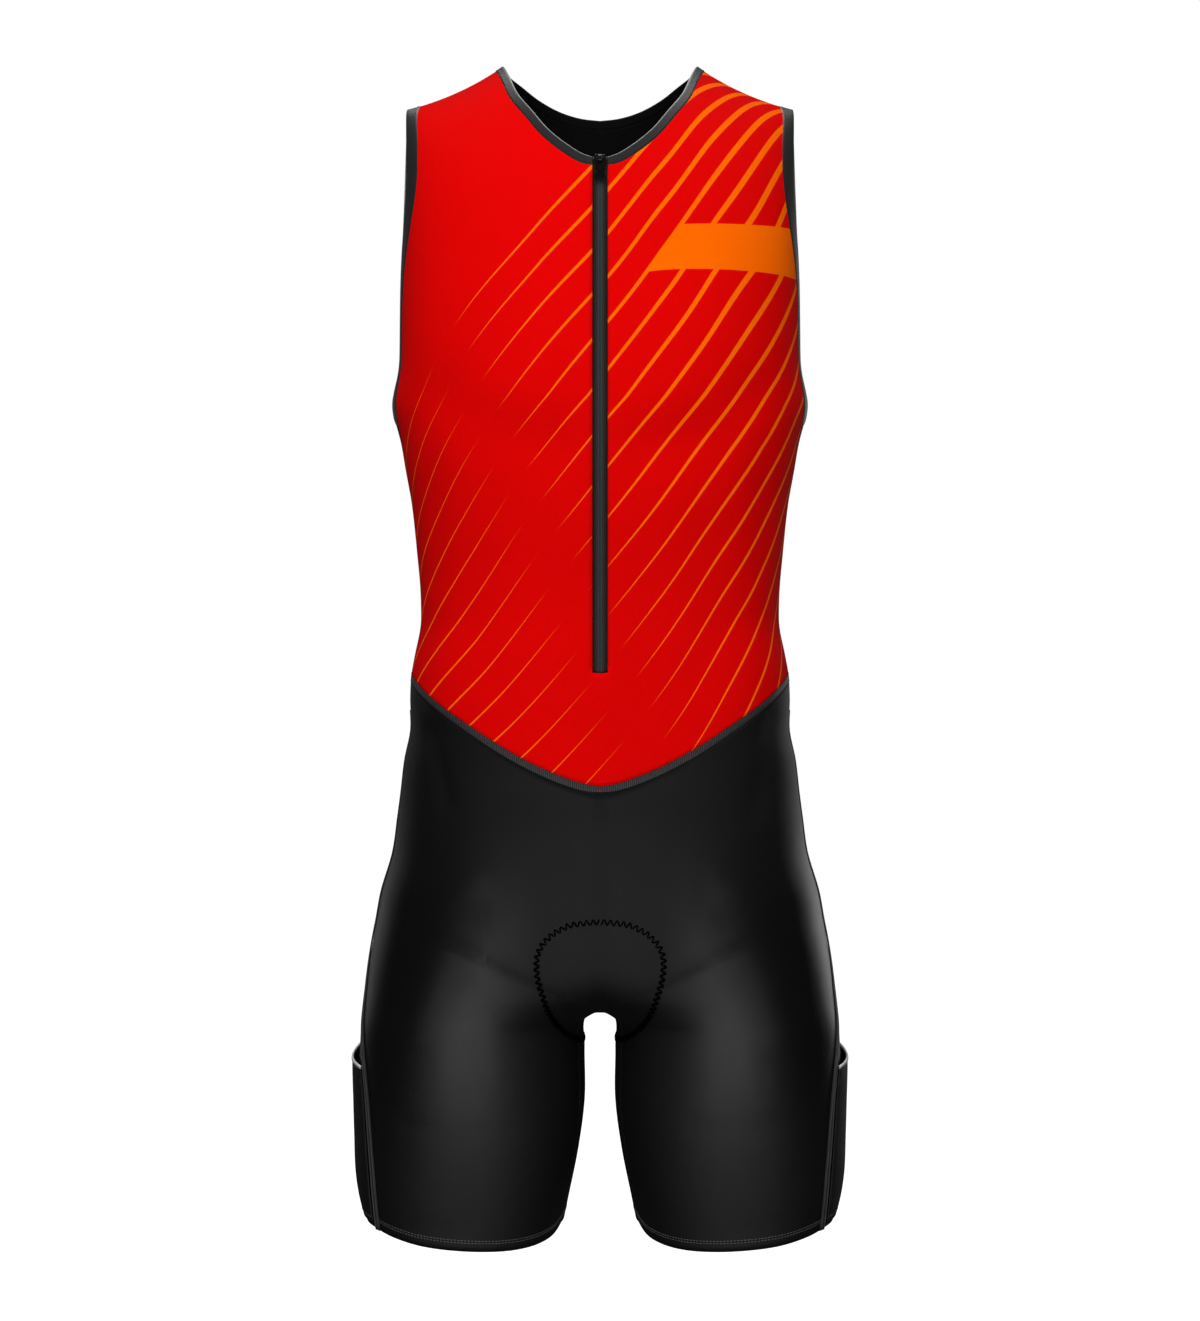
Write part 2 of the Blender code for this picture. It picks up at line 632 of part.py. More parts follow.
front_half = shorts_half(seam_angles[::-1], True, 0.0)
cloth("shorts_front", front_half, CLOTH, BLACK_SATIN, mirrored=True)
back_half = shorts_half(back_seam_angles, False, 2 * TRIM)
cloth("shorts_back", back_half[:, ::-1], CLOTH, BLACK_SATIN, mirrored=True)

share = np.linspace(0, 1, 4)[None, :]
front_y = -inner_reach("inner_front")[:, None] + HALF_GAP
back_y = inner_reach("inner_back")[:, None] - HALF_GAP
across_y = front_y + (back_y - front_y) * share
gusset = inner_point(inner_ways[:, None], across_y)
cloth("inner_leg_panel", gusset, CLOTH, BLACK_SATIN, mirrored=True)

# ---- Side seam tapes and thigh pockets ------------------------------------------------

LAID_ON = CLOTH / 2 + SEAM_GAP + THIN_WALL / 2

# Pocket on the outer thigh, from the side seam back. Angles are round the leg from its
# front, and stand_off is how far the pocket's cloth stands from the leg at mid width.
POCKET_FRONT_STEP = math.radians(4)     # from the side seam's line to the pocket's front edge
POCKET_BACK = math.radians(142)
POCKET_MOUTH_FRONT = -790 * MM
POCKET_MOUTH_BACK = -775 * MM
POCKET_BOTTOM = -904 * MM
POCKET_RIM = 2.4 * MM
POCKET_CLEARANCE = 0.6 * MM
POCKET_COLUMNS = 7
POCKET_COLUMN_NAMES = ["share_down", "stand_off"]
POCKET_FORM = np.array([
    (0.00, 6.6),
    (0.25, 6.2),
    (0.50, 5.4),
    (0.75, 4.2),
    (0.92, 1.6),
    (1.00, 0.0),
])

top_side = front_half[0, 0]
side_angle, side_z = leg_side(leg_angle(top_side), top_side[2])
tape_rows = np.arange(1, SHORTS_ROWS)
half_tape = SEAM_TAPE_WIDTH / 2 / LEG_RADIUS
tape_angle = side_angle[tape_rows, None] + half_tape * np.array([1.0, 0.0, -1.0])
tape = moved_out(leg_point(tape_angle, side_z[tape_rows, None]), LAID_ON)
for side, word in ((1, "left"), (-1, "right")):
    cloth("side_seam_tape_" + word, tape, THIN_WALL, SEAM_TAPE, side=side)


def pocket_point(across, down):
    """Point on the pocket: across from its front edge to its back edge, and down from its
    mouth (0) to its bottom (1). Above the mouth, down is negative."""
    mouth = POCKET_MOUTH_FRONT + (POCKET_MOUTH_BACK - POCKET_MOUTH_FRONT) * across
    z = mouth + (POCKET_BOTTOM - mouth) * down
    front = np.interp(-z, -side_z, side_angle) + POCKET_FRONT_STEP
    angle = front + (POCKET_BACK - front) * across
    puff = read(POCKET_FORM, POCKET_COLUMN_NAMES, "stand_off", down) * MM
    lift = LAID_ON + POCKET_CLEARANCE + puff * np.sin(math.pi * across) ** 0.7
    base = leg_point(angle, z)
    nudge = 1e-4
    by_angle = leg_point(angle - nudge, z) - base
    by_height = leg_point(angle, z - nudge) - base
    normal = np.cross(by_angle, by_height)
    normal /= np.linalg.norm(normal, axis=-1, keepdims=True)
    return base + normal * lift[..., None]


across = np.linspace(1, 0, POCKET_COLUMNS + 1)[None, :]
down = np.linspace(0, 1, 9)[:, None]
body = pocket_point(across, down + 0 * across)
rim_share = POCKET_RIM / (POCKET_MOUTH_FRONT - POCKET_BOTTOM)
gap_share = SEAM_GAP / (POCKET_MOUTH_FRONT - POCKET_BOTTOM)
rim_down = np.array([[-gap_share - rim_share], [-gap_share]])
rim = pocket_point(across, rim_down + 0 * across)
for side, word in ((1, "left"), (-1, "right")):
    cloth("pocket_" + word, body, THIN_WALL, BLACK_SATIN, side=side)
    cloth("pocket_binding_" + word, rim, THIN_WALL + 0.4 * MM, BINDING_ELASTIC, side=side)

# ---- Seat pad, sewn inside through the crotch -----------------------------------------

# Rows of the pad run from side to side. Each lies in a half-plane that turns about an axis
# inside the hips, from straight ahead (0 degrees) down to straight back (180 degrees).
PAD_AXIS_HEIGHT = -667 * MM
PAD_WALL = 4 * MM
PAD_INSET = CLOTH / 2 + SEAM_GAP + PAD_WALL / 2 + 4.5 * MM
PAD_STEPS = 4
PAD_COLUMN_NAMES = ["turn", "half_width"]
PAD_FORM = np.array([
    (0, 26.0),
    (8, 42.0),
    (18, 48.0),
    (32, 48.0),
    (48, 42.0),
    (66, 34.0),
    (84, 31.0),
    (102, 33.0),
    (120, 44.0),
    (138, 56.0),
    (156, 62.0),
    (172, 58.0),
    (182, 42.0),
])


def trace(turn, half_width, count):
    """Points along the cloth from the centre plane sideways, within the half-planes that
    turn about the pad's axis."""
    ahead = np.stack([0 * turn, -np.cos(turn), -np.sin(turn)], axis=-1)
    aside = np.array([1.0, 0.0, 0.0])
    axis = np.zeros_like(ahead)
    axis[:, 2] = PAD_AXIS_HEIGHT
    spot = shoot(axis, ahead)
    rows = [spot]
    nudge = 1e-5
    for step in range(count * 4):
        for pull in range(3):
            value = outside(spot[:, 0], spot[:, 1], spot[:, 2])
            right = spot + aside * nudge
            far = spot + ahead * nudge
            slope_aside = (outside(right[:, 0], right[:, 1], right[:, 2]) - value) / nudge
            slope_ahead = (outside(far[:, 0], far[:, 1], far[:, 2]) - value) / nudge
            steep = slope_aside ** 2 + slope_ahead ** 2
            slope = slope_aside[:, None] * aside + slope_ahead[:, None] * ahead
            if pull < 2:
                spot = spot - slope * (value / steep)[:, None]
        along = slope_ahead[:, None] * aside - slope_aside[:, None] * ahead
        along /= np.sqrt(steep)[:, None]
        spot = spot + along * (half_width / (count * 4))[:, None]
        if step % 4 == 3:
            rows.append(spot)
    return np.stack(rows, axis=1)


pad_turn = np.radians(column(PAD_FORM, PAD_COLUMN_NAMES, "turn"))
pad_width = column(PAD_FORM, PAD_COLUMN_NAMES, "half_width") * MM
pad_half = trace(pad_turn, pad_width, PAD_STEPS)
mirror_half = pad_half[:, :0:-1] * np.array([-1, 1, 1])
pad_grid = np.concatenate([mirror_half, pad_half], axis=1)[::-1]
pad_grid = moved_out(pad_grid, -PAD_INSET)
cloth("seat_pad", pad_grid[:, PAD_STEPS:], PAD_WALL, PAD_FOAM, mirrored=True)

# ---- Zip: two tapes, a slider and its pull tab ----------------------------------------

TAPE_WALL = 1.2 * MM
free_front = neck_edge(0)[0]
zip_top = free_front[1][0]
zip_rows = np.append(beside_slot, np.linspace(neck_front[1][0], zip_top, 3)[1:])
zip_rows[0] += SEAM_GAP
zip_x = np.array([HALF_GAP, ZIP_HALF_WIDTH - HALF_GAP])
zip_angle = slot_angle(zip_rows[:, None], zip_x[None, :])
zip_tape = torso_point(zip_angle, zip_rows[:, None])
for side, word in ((1, "left"), (-1, "right")):
    cloth("zip_tape_" + word, zip_tape, TAPE_WALL, ZIP_TAPE, side=side)

SLIDER_WIDTH = 9 * MM
SLIDER_DEPTH = 3 * MM
SLIDER_HEIGHT = 11 * MM
SLIDER_CORNER = 2.2 * MM
SLIDER_DROP = 6.5 * MM          # slider's middle below the top of the zip
BRIDGE_WIDTH = 2.2 * MM
BRIDGE_REACH = 2.6 * MM         # bridge's ends above and below the tab's axis
BRIDGE_WALL = 1.0 * MM
TAB_AXIS_OUT = 1.1 * MM         # tab's axis in front of the slider's face
TAB_AXIS_UP = 2.2 * MM          # tab's axis above the slider's middle
TAB_WALL = 1.2 * MM
TAB_WINDOW = (3.2 * MM, 4.4 * MM)       # the bridge's window in the tab, wide and tall
TAB_WINDOW_MIDDLE = -2.8 * MM
# Right-hand half of the tab's outline (millimetres): out from its middle line, up from its axis
TAB_OUTLINE = [
    (3.1, 0.6),
    (3.1, -6.0),
    (2.5, -8.5),
    (2.6, -12.0),
    (4.2, -14.2),
    (4.4, -17.0),
    (3.6, -17.4),
]

slider_height = zip_top - SLIDER_DROP * CLIMB / (math.pi / 2 * (shoulder_line(0) - ARMPIT))
slider_at = torso_point(0.0, slider_height)
above = torso_point(0.0, slider_height + 5 * MM) - torso_point(0.0, slider_height - 5 * MM)
lean = math.atan2(above[1], above[2])
face_out = TAPE_WALL / 2 + SEAM_GAP


def on_slider(out, up):
    """World point on the centre plane, out from the tapes' face and up from the slider."""
    y = slider_at[1] - out * math.cos(lean) + up * math.sin(lean)
    z = slider_at[2] + out * math.sin(lean) + up * math.cos(lean)
    return (0, y, z)


def block(bm, size, middle):
    """Adds a rectangular block to a bmesh."""
    verts = bmesh.ops.create_cube(bm, size=1)["verts"]
    bmesh.ops.scale(bm, verts=verts, vec=size)
    bmesh.ops.translate(bm, verts=verts, vec=middle)


def combine(piece, solid, kind):
    """Adds a hidden solid to a piece, or cuts it away."""
    solid.parent = piece
    solid.hide_render = True
    solid.display_type = "WIRE"
    change = piece.modifiers.new(solid.name, "BOOLEAN")
    change.operation = kind
    change.object = solid
    change.solver = "EXACT"


def slider():
    """Slider body with its rounded corners and the bridge that the tab hangs on."""
    bm = bmesh.new()
    block(bm, (SLIDER_WIDTH, SLIDER_DEPTH, SLIDER_HEIGHT), (0, 0, 0))
    corners = [edge for edge in bm.edges if abs(edge.verts[0].co.y - edge.verts[1].co.y) > MM]
    bmesh.ops.bevel(bm, geom=corners, offset=SLIDER_CORNER, segments=3, profile=0.5,
                    affect="EDGES", clamp_overlap=True)
    piece = add_object("zip_slider", bm, ZIP_METAL)
    bm = bmesh.new()
    out = TAB_AXIS_OUT * 2 + BRIDGE_WALL
    tall = 2 * BRIDGE_REACH
    block(bm, (BRIDGE_WIDTH, out + 1 * MM, tall), (0, -out / 2 + 0.5 * MM, 0))
    bridge = add_object("bridge", bm, ZIP_METAL)
    bm = bmesh.new()
    block(bm, (2 * BRIDGE_WIDTH, 2 * TAB_AXIS_OUT, tall - 2 * BRIDGE_WALL), (0, -TAB_AXIS_OUT, 0))
    eye = add_object("bridge_eye", bm, ZIP_METAL)
    for solid, kind in ((bridge, "UNION"), (eye, "DIFFERENCE")):
        solid.location = (0, -SLIDER_DEPTH / 2, TAB_AXIS_UP)
        combine(piece, solid, kind)
    piece.location = on_slider(face_out + SLIDER_DEPTH / 2, 0)
    piece.rotation_euler = (-lean, 0, 0)


def pull_tab():
    """Flat tab with a window for the bridge, its origin on the axis that it swings about."""
    bm = bmesh.new()
    left = [(-x, z) for x, z in reversed(TAB_OUTLINE)]
    verts = [bm.verts.new((x * MM, -TAB_WALL / 2, z * MM)) for x, z in TAB_OUTLINE + left]
    face = bm.faces.new(verts)
    grown = bmesh.ops.extrude_face_region(bm, geom=[face])["geom"]
    moved = [item for item in grown if isinstance(item, bmesh.types.BMVert)]
    bmesh.ops.translate(bm, verts=moved, vec=(0, TAB_WALL, 0))
    bmesh.ops.recalc_face_normals(bm, faces=bm.faces)
    tab = add_object("pull_tab", bm, ZIP_METAL)
    bm = bmesh.new()
    block(bm, (TAB_WINDOW[0], 3 * TAB_WALL, TAB_WINDOW[1]), (0, 0, TAB_WINDOW_MIDDLE))
    window = add_object("tab_window", bm, ZIP_METAL)
    combine(tab, window, "DIFFERENCE")
    tab.location = on_slider(face_out + SLIDER_DEPTH + TAB_AXIS_OUT, TAB_AXIS_UP)
    tab.rotation_euler = (-lean, 0, 0)


slider()
pull_tab()
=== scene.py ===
import math
import bmesh
import bpy
import numpy as np
from mathutils import Matrix, Vector


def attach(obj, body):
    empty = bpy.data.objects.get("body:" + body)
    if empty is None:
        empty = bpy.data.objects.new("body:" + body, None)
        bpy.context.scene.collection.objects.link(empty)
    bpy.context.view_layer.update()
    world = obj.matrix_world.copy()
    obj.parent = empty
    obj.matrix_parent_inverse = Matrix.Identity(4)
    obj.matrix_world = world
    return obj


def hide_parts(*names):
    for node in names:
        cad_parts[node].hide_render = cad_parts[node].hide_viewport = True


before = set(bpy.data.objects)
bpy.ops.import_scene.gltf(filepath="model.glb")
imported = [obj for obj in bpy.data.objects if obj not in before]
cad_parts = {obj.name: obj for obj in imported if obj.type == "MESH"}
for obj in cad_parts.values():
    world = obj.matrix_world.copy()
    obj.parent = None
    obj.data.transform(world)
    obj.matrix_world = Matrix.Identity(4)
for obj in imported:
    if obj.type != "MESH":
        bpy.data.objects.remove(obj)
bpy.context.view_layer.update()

# ---- Torso front ----------------------------------------------------------------------
# Thin stretch jersey, dyed red and printed with fanned orange lines and a plain chest band.
# It is cut in one piece with a slot down the centre front for the zip, and is sewn to its
# bindings, the zip tapes, the back and the waist seam.

MM = 0.001
FINE = 6                        # fine rows to one row of the plain model
CLOTH = 1.5 * MM
SEAM_GAP = 0.3 * MM
HALF_GAP = SEAM_GAP / 2
TUCK = 2.0 * MM                 # how far a panel runs in under its binding
ARMPIT = -261 * MM              # height of the lowest point of the armholes
NECK_BINDING_WIDTH = 7.5 * MM
ARMHOLE_BINDING_WIDTH = 8.5 * MM
ZIP_HALF_WIDTH = 5.8 * MM
ZIP_BOTTOM = -474 * MM
WAIST_CENTRE = -560.6 * MM
WAIST_SIDE = -473.5 * MM
WAIST_BACK = -486 * MM
WAIST_CURVE = 1.45
BEND_FADE = 1.5                 # how fast the waist seam's bend fades up the cloth

# The figure that the suit fits, level by level (millimetres). leg_centre is how far each
# thigh's centre is from the centre plane, and split is 1 where the thighs stand apart.
FIGURE_COLUMNS = ["height", "half_width", "front_depth", "back_depth", "leg_centre", "split"]
FIGURE = np.array([
    (-940, 183.0, 85.0, 84.0, 109.0, 1.00),
    (-921, 186.5, 86.5, 86.0, 108.7, 1.00),
    (-897, 190.0, 88.5, 88.0, 108.0, 1.00),
    (-861, 192.6, 90.0, 90.0, 105.6, 1.00),
    (-818, 193.8, 92.0, 94.0, 103.4, 1.00),
    (-776, 193.3, 95.0, 101.0, 103.2, 1.00),
    (-752, 191.8, 97.0, 108.0, 102.0, 1.00),
    (-740, 190.1, 98.0, 112.0, 97.3, 0.86),
    (-727, 188.2, 99.5, 116.5, 91.0, 0.62),
    (-709, 185.8, 101.0, 121.5, 82.0, 0.34),
    (-691, 183.0, 102.5, 125.0, 72.0, 0.12),
    (-672, 179.3, 103.5, 127.0, 60.0, 0.00),
    (-654, 176.2, 104.0, 127.0, 48.0, 0.00),
    (-618, 166.0, 104.5, 124.0, 24.0, 0.00),
    (-591, 162.4, 104.5, 119.0, 8.0, 0.00),
    (-572, 160.0, 104.0, 115.0, 0.0, 0.00),
    (-545, 157.0, 103.5, 109.5, 0.0, 0.00),
    (-520, 152.2, 102.5, 104.0, 0.0, 0.00),
    (-496, 153.0, 101.5, 99.0, 0.0, 0.00),
    (-473, 151.6, 101.0, 95.5, 0.0, 0.00),
    (-460, 149.2, 101.0, 94.0, 0.0, 0.00),
    (-435, 144.4, 101.0, 92.5, 0.0, 0.00),
    (-417, 144.3, 101.8, 92.5, 0.0, 0.00),
    (-375, 147.6, 105.5, 96.0, 0.0, 0.00),
    (-338, 151.6, 110.0, 102.0, 0.0, 0.00),
    (-302, 157.5, 114.0, 108.0, 0.0, 0.00),
    (-277, 160.2, 116.0, 111.0, 0.0, 0.00),
    (-261, 161.0, 116.5, 112.0, 0.0, 0.00),
    (-240, 161.2, 116.5, 112.0, 0.0, 0.00),
])
FULLNESS = 0.035                # how much squarer than an ellipse a level section is
BACK_SPREAD = 0.12              # how much the back widens behind the side line
SPREAD_START = -450 * MM
SPREAD_RISE = 150 * MM
ARMHOLE_FLARE = 6.2 * MM
FLARE_REACH = 22 * MM
FLARE_RISE = 4 * MM
FLARE_NARROWNESS = 15
BODY_RADIUS = 110 * MM
SIDE_SEAM_ANGLE = 96
SIDE_SEAM_FORWARD = 17
SIDE_SEAM_REACH = 40 * MM
SHOULDER_END = -35.1 * MM
SHOULDER_RISE = 194 * MM
SHOULDER_ROUND = 40 * MM
SHOULDER_FALL = 65 * MM
CLIMB = 400 * MM                # height scale from the armpits to the shoulder line
SHOULDER_FULLNESS = 2.5
SHOULDER = ARMPIT + CLIMB - 0.6 * MM

NECK_COLUMNS = ["across", "height"]
NECK_FRONT = np.array([
    (5.8, -76.6), (11.9, -74.4), (25.6, -65.4), (40.1, -52.2),
    (53.0, -35.1), (64.3, -19.0), (71.5, -1.5), (78.2, 16.2),
])
NECK_BACK = np.array([
    (0.0, -9.3), (16.4, -7.9), (33.6, -4.1), (51.3, 2.8), (66.0, 10.4), (78.2, 16.2),
])
# Free edge of an armhole: angles round the body (degrees) at shares of the way up
ARMHOLE_COLUMNS = ["row", "climb", "front_angle", "back_angle"]
ARMHOLE = np.array([
    (0, 0.000, 86.0, 86.0),
    (1, 0.006, 85.2, 88.6),
    (2, 0.025, 84.6, 91.0),
    (3, 0.070, 84.2, 93.0),
    (4, 0.140, 83.8, 94.8),
    (5, 0.240, 83.3, 96.8),
    (6, 0.360, 82.0, 99.0),
    (7, 0.480, 78.6, 102.0),
    (8, 0.600, 74.2, 105.0),
    (9, 0.720, 71.8, 106.3),
    (10, 0.830, 72.0, 106.5),
    (11, 0.920, 73.0, 106.0),
    (12, 0.975, 74.0, 105.7),
    (13, 0.998, 74.2, 105.8),
    (14, 1.000, 74.2, 105.8),
])
# How much wider the binding lies down the front of the armhole, at shares of its height
BINDING_GAIN = np.array([
    (0.0, 1.7), (0.2, 1.65), (0.37, 1.6), (0.55, 1.8), (0.7, 2.05), (0.85, 1.7), (0.95, 1.2),
    (1.0, 1.0),
])
GAIN_FADE = 0.25                # behind the armpit the gain is gone at this height share
ARMHOLE_ROWS = (len(ARMHOLE) - 1) * FINE
ARMHOLE[:, 1] = np.arcsin(ARMHOLE[:, 1]) * 2 / math.pi      # shares of the height scale


def read(table, columns, name, at):
    """Value of a table's column at any place between its rows, as a smooth curve."""
    keys = table[:, 0]
    values = table[:, columns.index(name)]
    slopes = np.gradient(values, keys)
    at = np.clip(at, keys[0], keys[-1])
    row = np.clip(np.searchsorted(keys, at) - 1, 0, len(keys) - 2)
    step = keys[row + 1] - keys[row]
    s = (at - keys[row]) / step
    before = values[row] * (1 + 2 * s) * (1 - s) ** 2 + slopes[row] * step * s * (1 - s) ** 2
    after = values[row + 1] * (3 - 2 * s) * s ** 2 + slopes[row + 1] * step * (s - 1) * s ** 2
    return before + after


def figure(name, height):
    """A column of the figure table at a height, both in metres."""
    scale = 1 if name == "split" else MM
    return read(FIGURE, FIGURE_COLUMNS, name, np.asarray(height) / MM) * scale


def roundness(angle):
    return 1 + FULLNESS * np.sin(2 * angle) ** 2


def shoulder_line(x):
    return SHOULDER_END + SHOULDER_RISE * np.exp(-np.hypot(x, SHOULDER_ROUND) / SHOULDER_FALL)


SHOULDER_NECK = shoulder_line(NECK_FRONT[-1, 0] * MM) / MM - 0.002
NECK_FRONT[-1, 1] = NECK_BACK[-1, 1] = SHOULDER_NECK


def torso_point(angle, height):
    """Point on the torso at an angle round it (0 at the front, pi at the back) and a height."""
    angle, height = np.broadcast_arrays(np.asarray(angle, float), np.asarray(height, float))
    rise = np.sin(np.clip((height - ARMPIT) / CLIMB, 0, 1) * math.pi / 2)
    level = np.minimum(height, ARMPIT)
    forward = np.cos(angle)
    depth = np.where(forward > 0, figure("front_depth", level), figure("back_depth", level))
    depth = depth * np.sqrt(np.maximum(1 - rise ** SHOULDER_FULLNESS, 0))
    above_waist = np.clip((level - SPREAD_START) / SPREAD_RISE, 0, 1)
    spread = BACK_SPREAD * np.maximum(-forward, 0) * (1 - rise ** 4) * above_waist
    flare = ARMHOLE_FLARE * np.exp(-((height - ARMPIT - FLARE_RISE) / FLARE_REACH) ** 2)
    flare = flare * np.abs(np.sin(angle)) ** FLARE_NARROWNESS * np.sign(np.sin(angle))
    x = figure("half_width", level) * np.sin(angle) * roundness(angle) * (1 + spread) + flare
    y = -depth * forward * roundness(angle)
    z = level + rise * (shoulder_line(x) - ARMPIT)
    return np.stack([x, y, z], axis=-1)


def torso_place(across, z, side):
    """Angle and height scale of the torso point that is seen at (across, z) from one side."""
    rise = np.clip((z - ARMPIT) / (shoulder_line(across) - ARMPIT), 0, 1)
    height = np.where(rise > 0, ARMPIT + np.arcsin(rise) * 2 / math.pi * CLIMB, z)
    level = np.minimum(height, ARMPIT)
    angles = np.linspace(0, math.pi / 2, 400)
    shares = np.sin(angles) * roundness(angles)
    angle = np.interp(across / figure("half_width", level), shares, angles)
    if side > 0:
        spread = BACK_SPREAD * np.cos(angle) * (1 - rise ** 4)
        angle = np.interp(across / figure("half_width", level) / (1 + spread), shares, angles)
        angle = math.pi - angle
    return angle, height


def waist_seam(angle):
    """Height of the V-shaped waist seam at an angle round the torso."""
    front = WAIST_CENTRE + (WAIST_SIDE - WAIST_CENTRE) * np.abs(np.sin(angle)) ** WAIST_CURVE
    back = WAIST_SIDE + (WAIST_BACK - WAIST_SIDE) * np.cos(angle) ** 2
    return np.where(np.cos(angle) > 0, front, back)


def side_seam(height):
    near = np.exp(-((height - ARMPIT) / SIDE_SEAM_REACH) ** 2)
    return np.radians(SIDE_SEAM_ANGLE - SIDE_SEAM_FORWARD * near)


def unit(vectors):
    """Vectors made one long."""
    return vectors / np.maximum(np.linalg.norm(vectors, axis=-1, keepdims=True), 1e-12)


def inset(place, angle, height, distance):
    """Moves an edge, given as angles and heights, sideways within the surface."""
    nudge = 1e-5
    here = place(angle, height)
    by_angle = (place(angle + nudge, height) - place(angle - nudge, height)) / (2 * nudge)
    by_height = (place(angle, height + nudge) - place(angle, height - nudge)) / (2 * nudge)
    normal = unit(np.cross(by_angle, by_height))
    aside = unit(np.cross(normal, np.gradient(here, axis=0))) * np.reshape(distance, (-1, 1))
    moved_angle = np.empty_like(angle)
    moved_height = np.empty_like(height)
    for i in range(len(angle)):
        tangents = np.stack([by_angle[i], by_height[i]], axis=1)
        shift = np.linalg.lstsq(tangents, aside[i], rcond=None)[0]
        moved_angle[i] = angle[i] + shift[0]
        moved_height[i] = height[i] + shift[1]
    return moved_angle, moved_height


def along_path(points):
    """Distance along a path to each of its points."""
    return np.concatenate([[0], np.cumsum(np.linalg.norm(np.diff(points, axis=0), axis=1))])


def spaced(table, shares):
    """Points at shares of the length of the smooth curve through a neck table's rows."""
    lengths = along_path(table)
    with_lengths = np.column_stack([lengths, table])
    names = ["length"] + NECK_COLUMNS
    return [read(with_lengths, names, name, shares * lengths[-1]) * MM for name in NECK_COLUMNS]


def slot_angle(height, x=ZIP_HALF_WIDTH + HALF_GAP):
    """Angle of the zip's edge on the torso."""
    return np.arcsin(x / figure("half_width", np.minimum(height, ARMPIT)))


NECK_SAMPLES = 10 * FINE
BACK_NECK_SAMPLES = 8 * FINE


def neck_edge(distance):
    """Angles and heights of the neck's edge, moved in from its free edge, for the front
    half and the back half, each from the centre to the shoulder."""
    edges = []
    for table, count, side in ((NECK_FRONT, NECK_SAMPLES, -1), (NECK_BACK, BACK_NECK_SAMPLES, 1)):
        across, height = spaced(table, np.sin(np.linspace(0, 1, count) * math.pi / 2))
        angle, height = torso_place(across, height, side)
        height[-1] = SHOULDER
        if distance > 0:
            angle, height = inset(torso_point, angle, height, side * distance)
            height[-1] = SHOULDER
            height = np.minimum(height, SHOULDER)
        edges.append((angle, height))
    edges[0][0][0] = slot_angle(edges[0][1][0])
    edges[1][0][0] = math.pi
    return edges


def smooth_step(value, low, high):
    share = np.clip((value - low) / (high - low), 0, 1)
    return share ** 2 * (3 - 2 * share)


def armhole_edge(distance):
    """Angles and heights of the armhole's edge, from the shoulder down its front, round the
    armpit and up its back, moved in from the free edge: further over the shoulder."""
    rows = np.linspace(0, len(ARMHOLE) - 1, ARMHOLE_ROWS + 1)
    height = ARMPIT + read(ARMHOLE, ARMHOLE_COLUMNS, "climb", rows) * CLIMB
    front = np.radians(read(ARMHOLE, ARMHOLE_COLUMNS, "front_angle", rows))
    back = np.radians(read(ARMHOLE, ARMHOLE_COLUMNS, "back_angle", rows))
    angle = np.concatenate([front[::-1], back[1:]])
    height = np.concatenate([height[::-1], height[1:]])
    height = np.minimum(height, SHOULDER)
    if distance > 0:
        up_the_arm = np.sin((height - ARMPIT) / CLIMB * math.pi / 2)
        wider = read(BINDING_GAIN, ["up", "gain"], "gain", up_the_arm)
        behind = slice(len(wider) // 2, None)
        near = 1 - smooth_step(up_the_arm[behind], 0, GAIN_FADE)
        wider[behind] = 1 + (BINDING_GAIN[0, 1] - 1) * near
        angle, height = inset(torso_point, angle, height, -distance * wider)
        height[0] = height[-1] = SHOULDER
        height = np.minimum(height, SHOULDER)
    return angle, height


def torso_rows(edge_angle, edge_height, centre_angle, centre_height, shares):
    """Grid of torso places between a centre edge and a side edge, one row per pair of ends.
    The lowest row follows the waist seam, and that bend fades upward."""
    rows = len(edge_angle)
    angle = centre_angle[:, None] + (edge_angle - centre_angle)[:, None] * shares
    height = centre_height[:, None] + (edge_height - centre_height)[:, None] * shares
    fade = np.linspace(1, 0, rows)[:, None] ** BEND_FADE
    bend = waist_seam(angle[0]) - TUCK - height[0]
    return angle, height + fade * bend


def girth(angle, height):
    """Distance round the torso from the centre front, along a level line."""
    turns = angle[..., None] * np.linspace(0, 1, 25)
    steps = np.diff(torso_point(turns, height[..., None]), axis=-2)
    return np.linalg.norm(steps, axis=-1).sum(axis=-1)


def mirrored(points, side=-1):
    """Points on the wearer's other side where side is -1, and as they are where it is 1."""
    return points * np.array([side, 1, 1])


def both_sides(half, sign=-1):
    """A grid from the centre to the left side, with its mirror image put before it."""
    turned = half[:, :0:-1]
    turned = mirrored(turned) if half.ndim == 3 else turned * sign
    return np.concatenate([turned, half], axis=1)


def outward(points):
    """Directions straight out of a grid of points."""
    across = np.gradient(points, axis=1)
    down = np.gradient(points, axis=0)
    return unit(np.cross(across, down))


def pressed(points, marks):
    """Cloth pressed into soft folds. A mark is its path (across and height, millimetres),
    its half width, and how far it stands out, or in where that is negative."""
    lift = np.zeros(points.shape[:2])
    seen = points[..., [0, 2]] / MM
    for path, half_width, height in marks:
        path = np.array(path, float)
        nearest = np.full(lift.shape, np.inf)
        for start, end in zip(path[:-1], path[1:]):
            way = end - start
            share = np.clip(((seen - start) @ way) / (way @ way), 0, 1)
            gap = np.linalg.norm(seen - start - share[..., None] * way, axis=-1)
            nearest = np.minimum(nearest, gap)
        lift += height * MM * np.exp(-(nearest / half_width) ** 2)
    return points + outward(points) * lift[..., None]


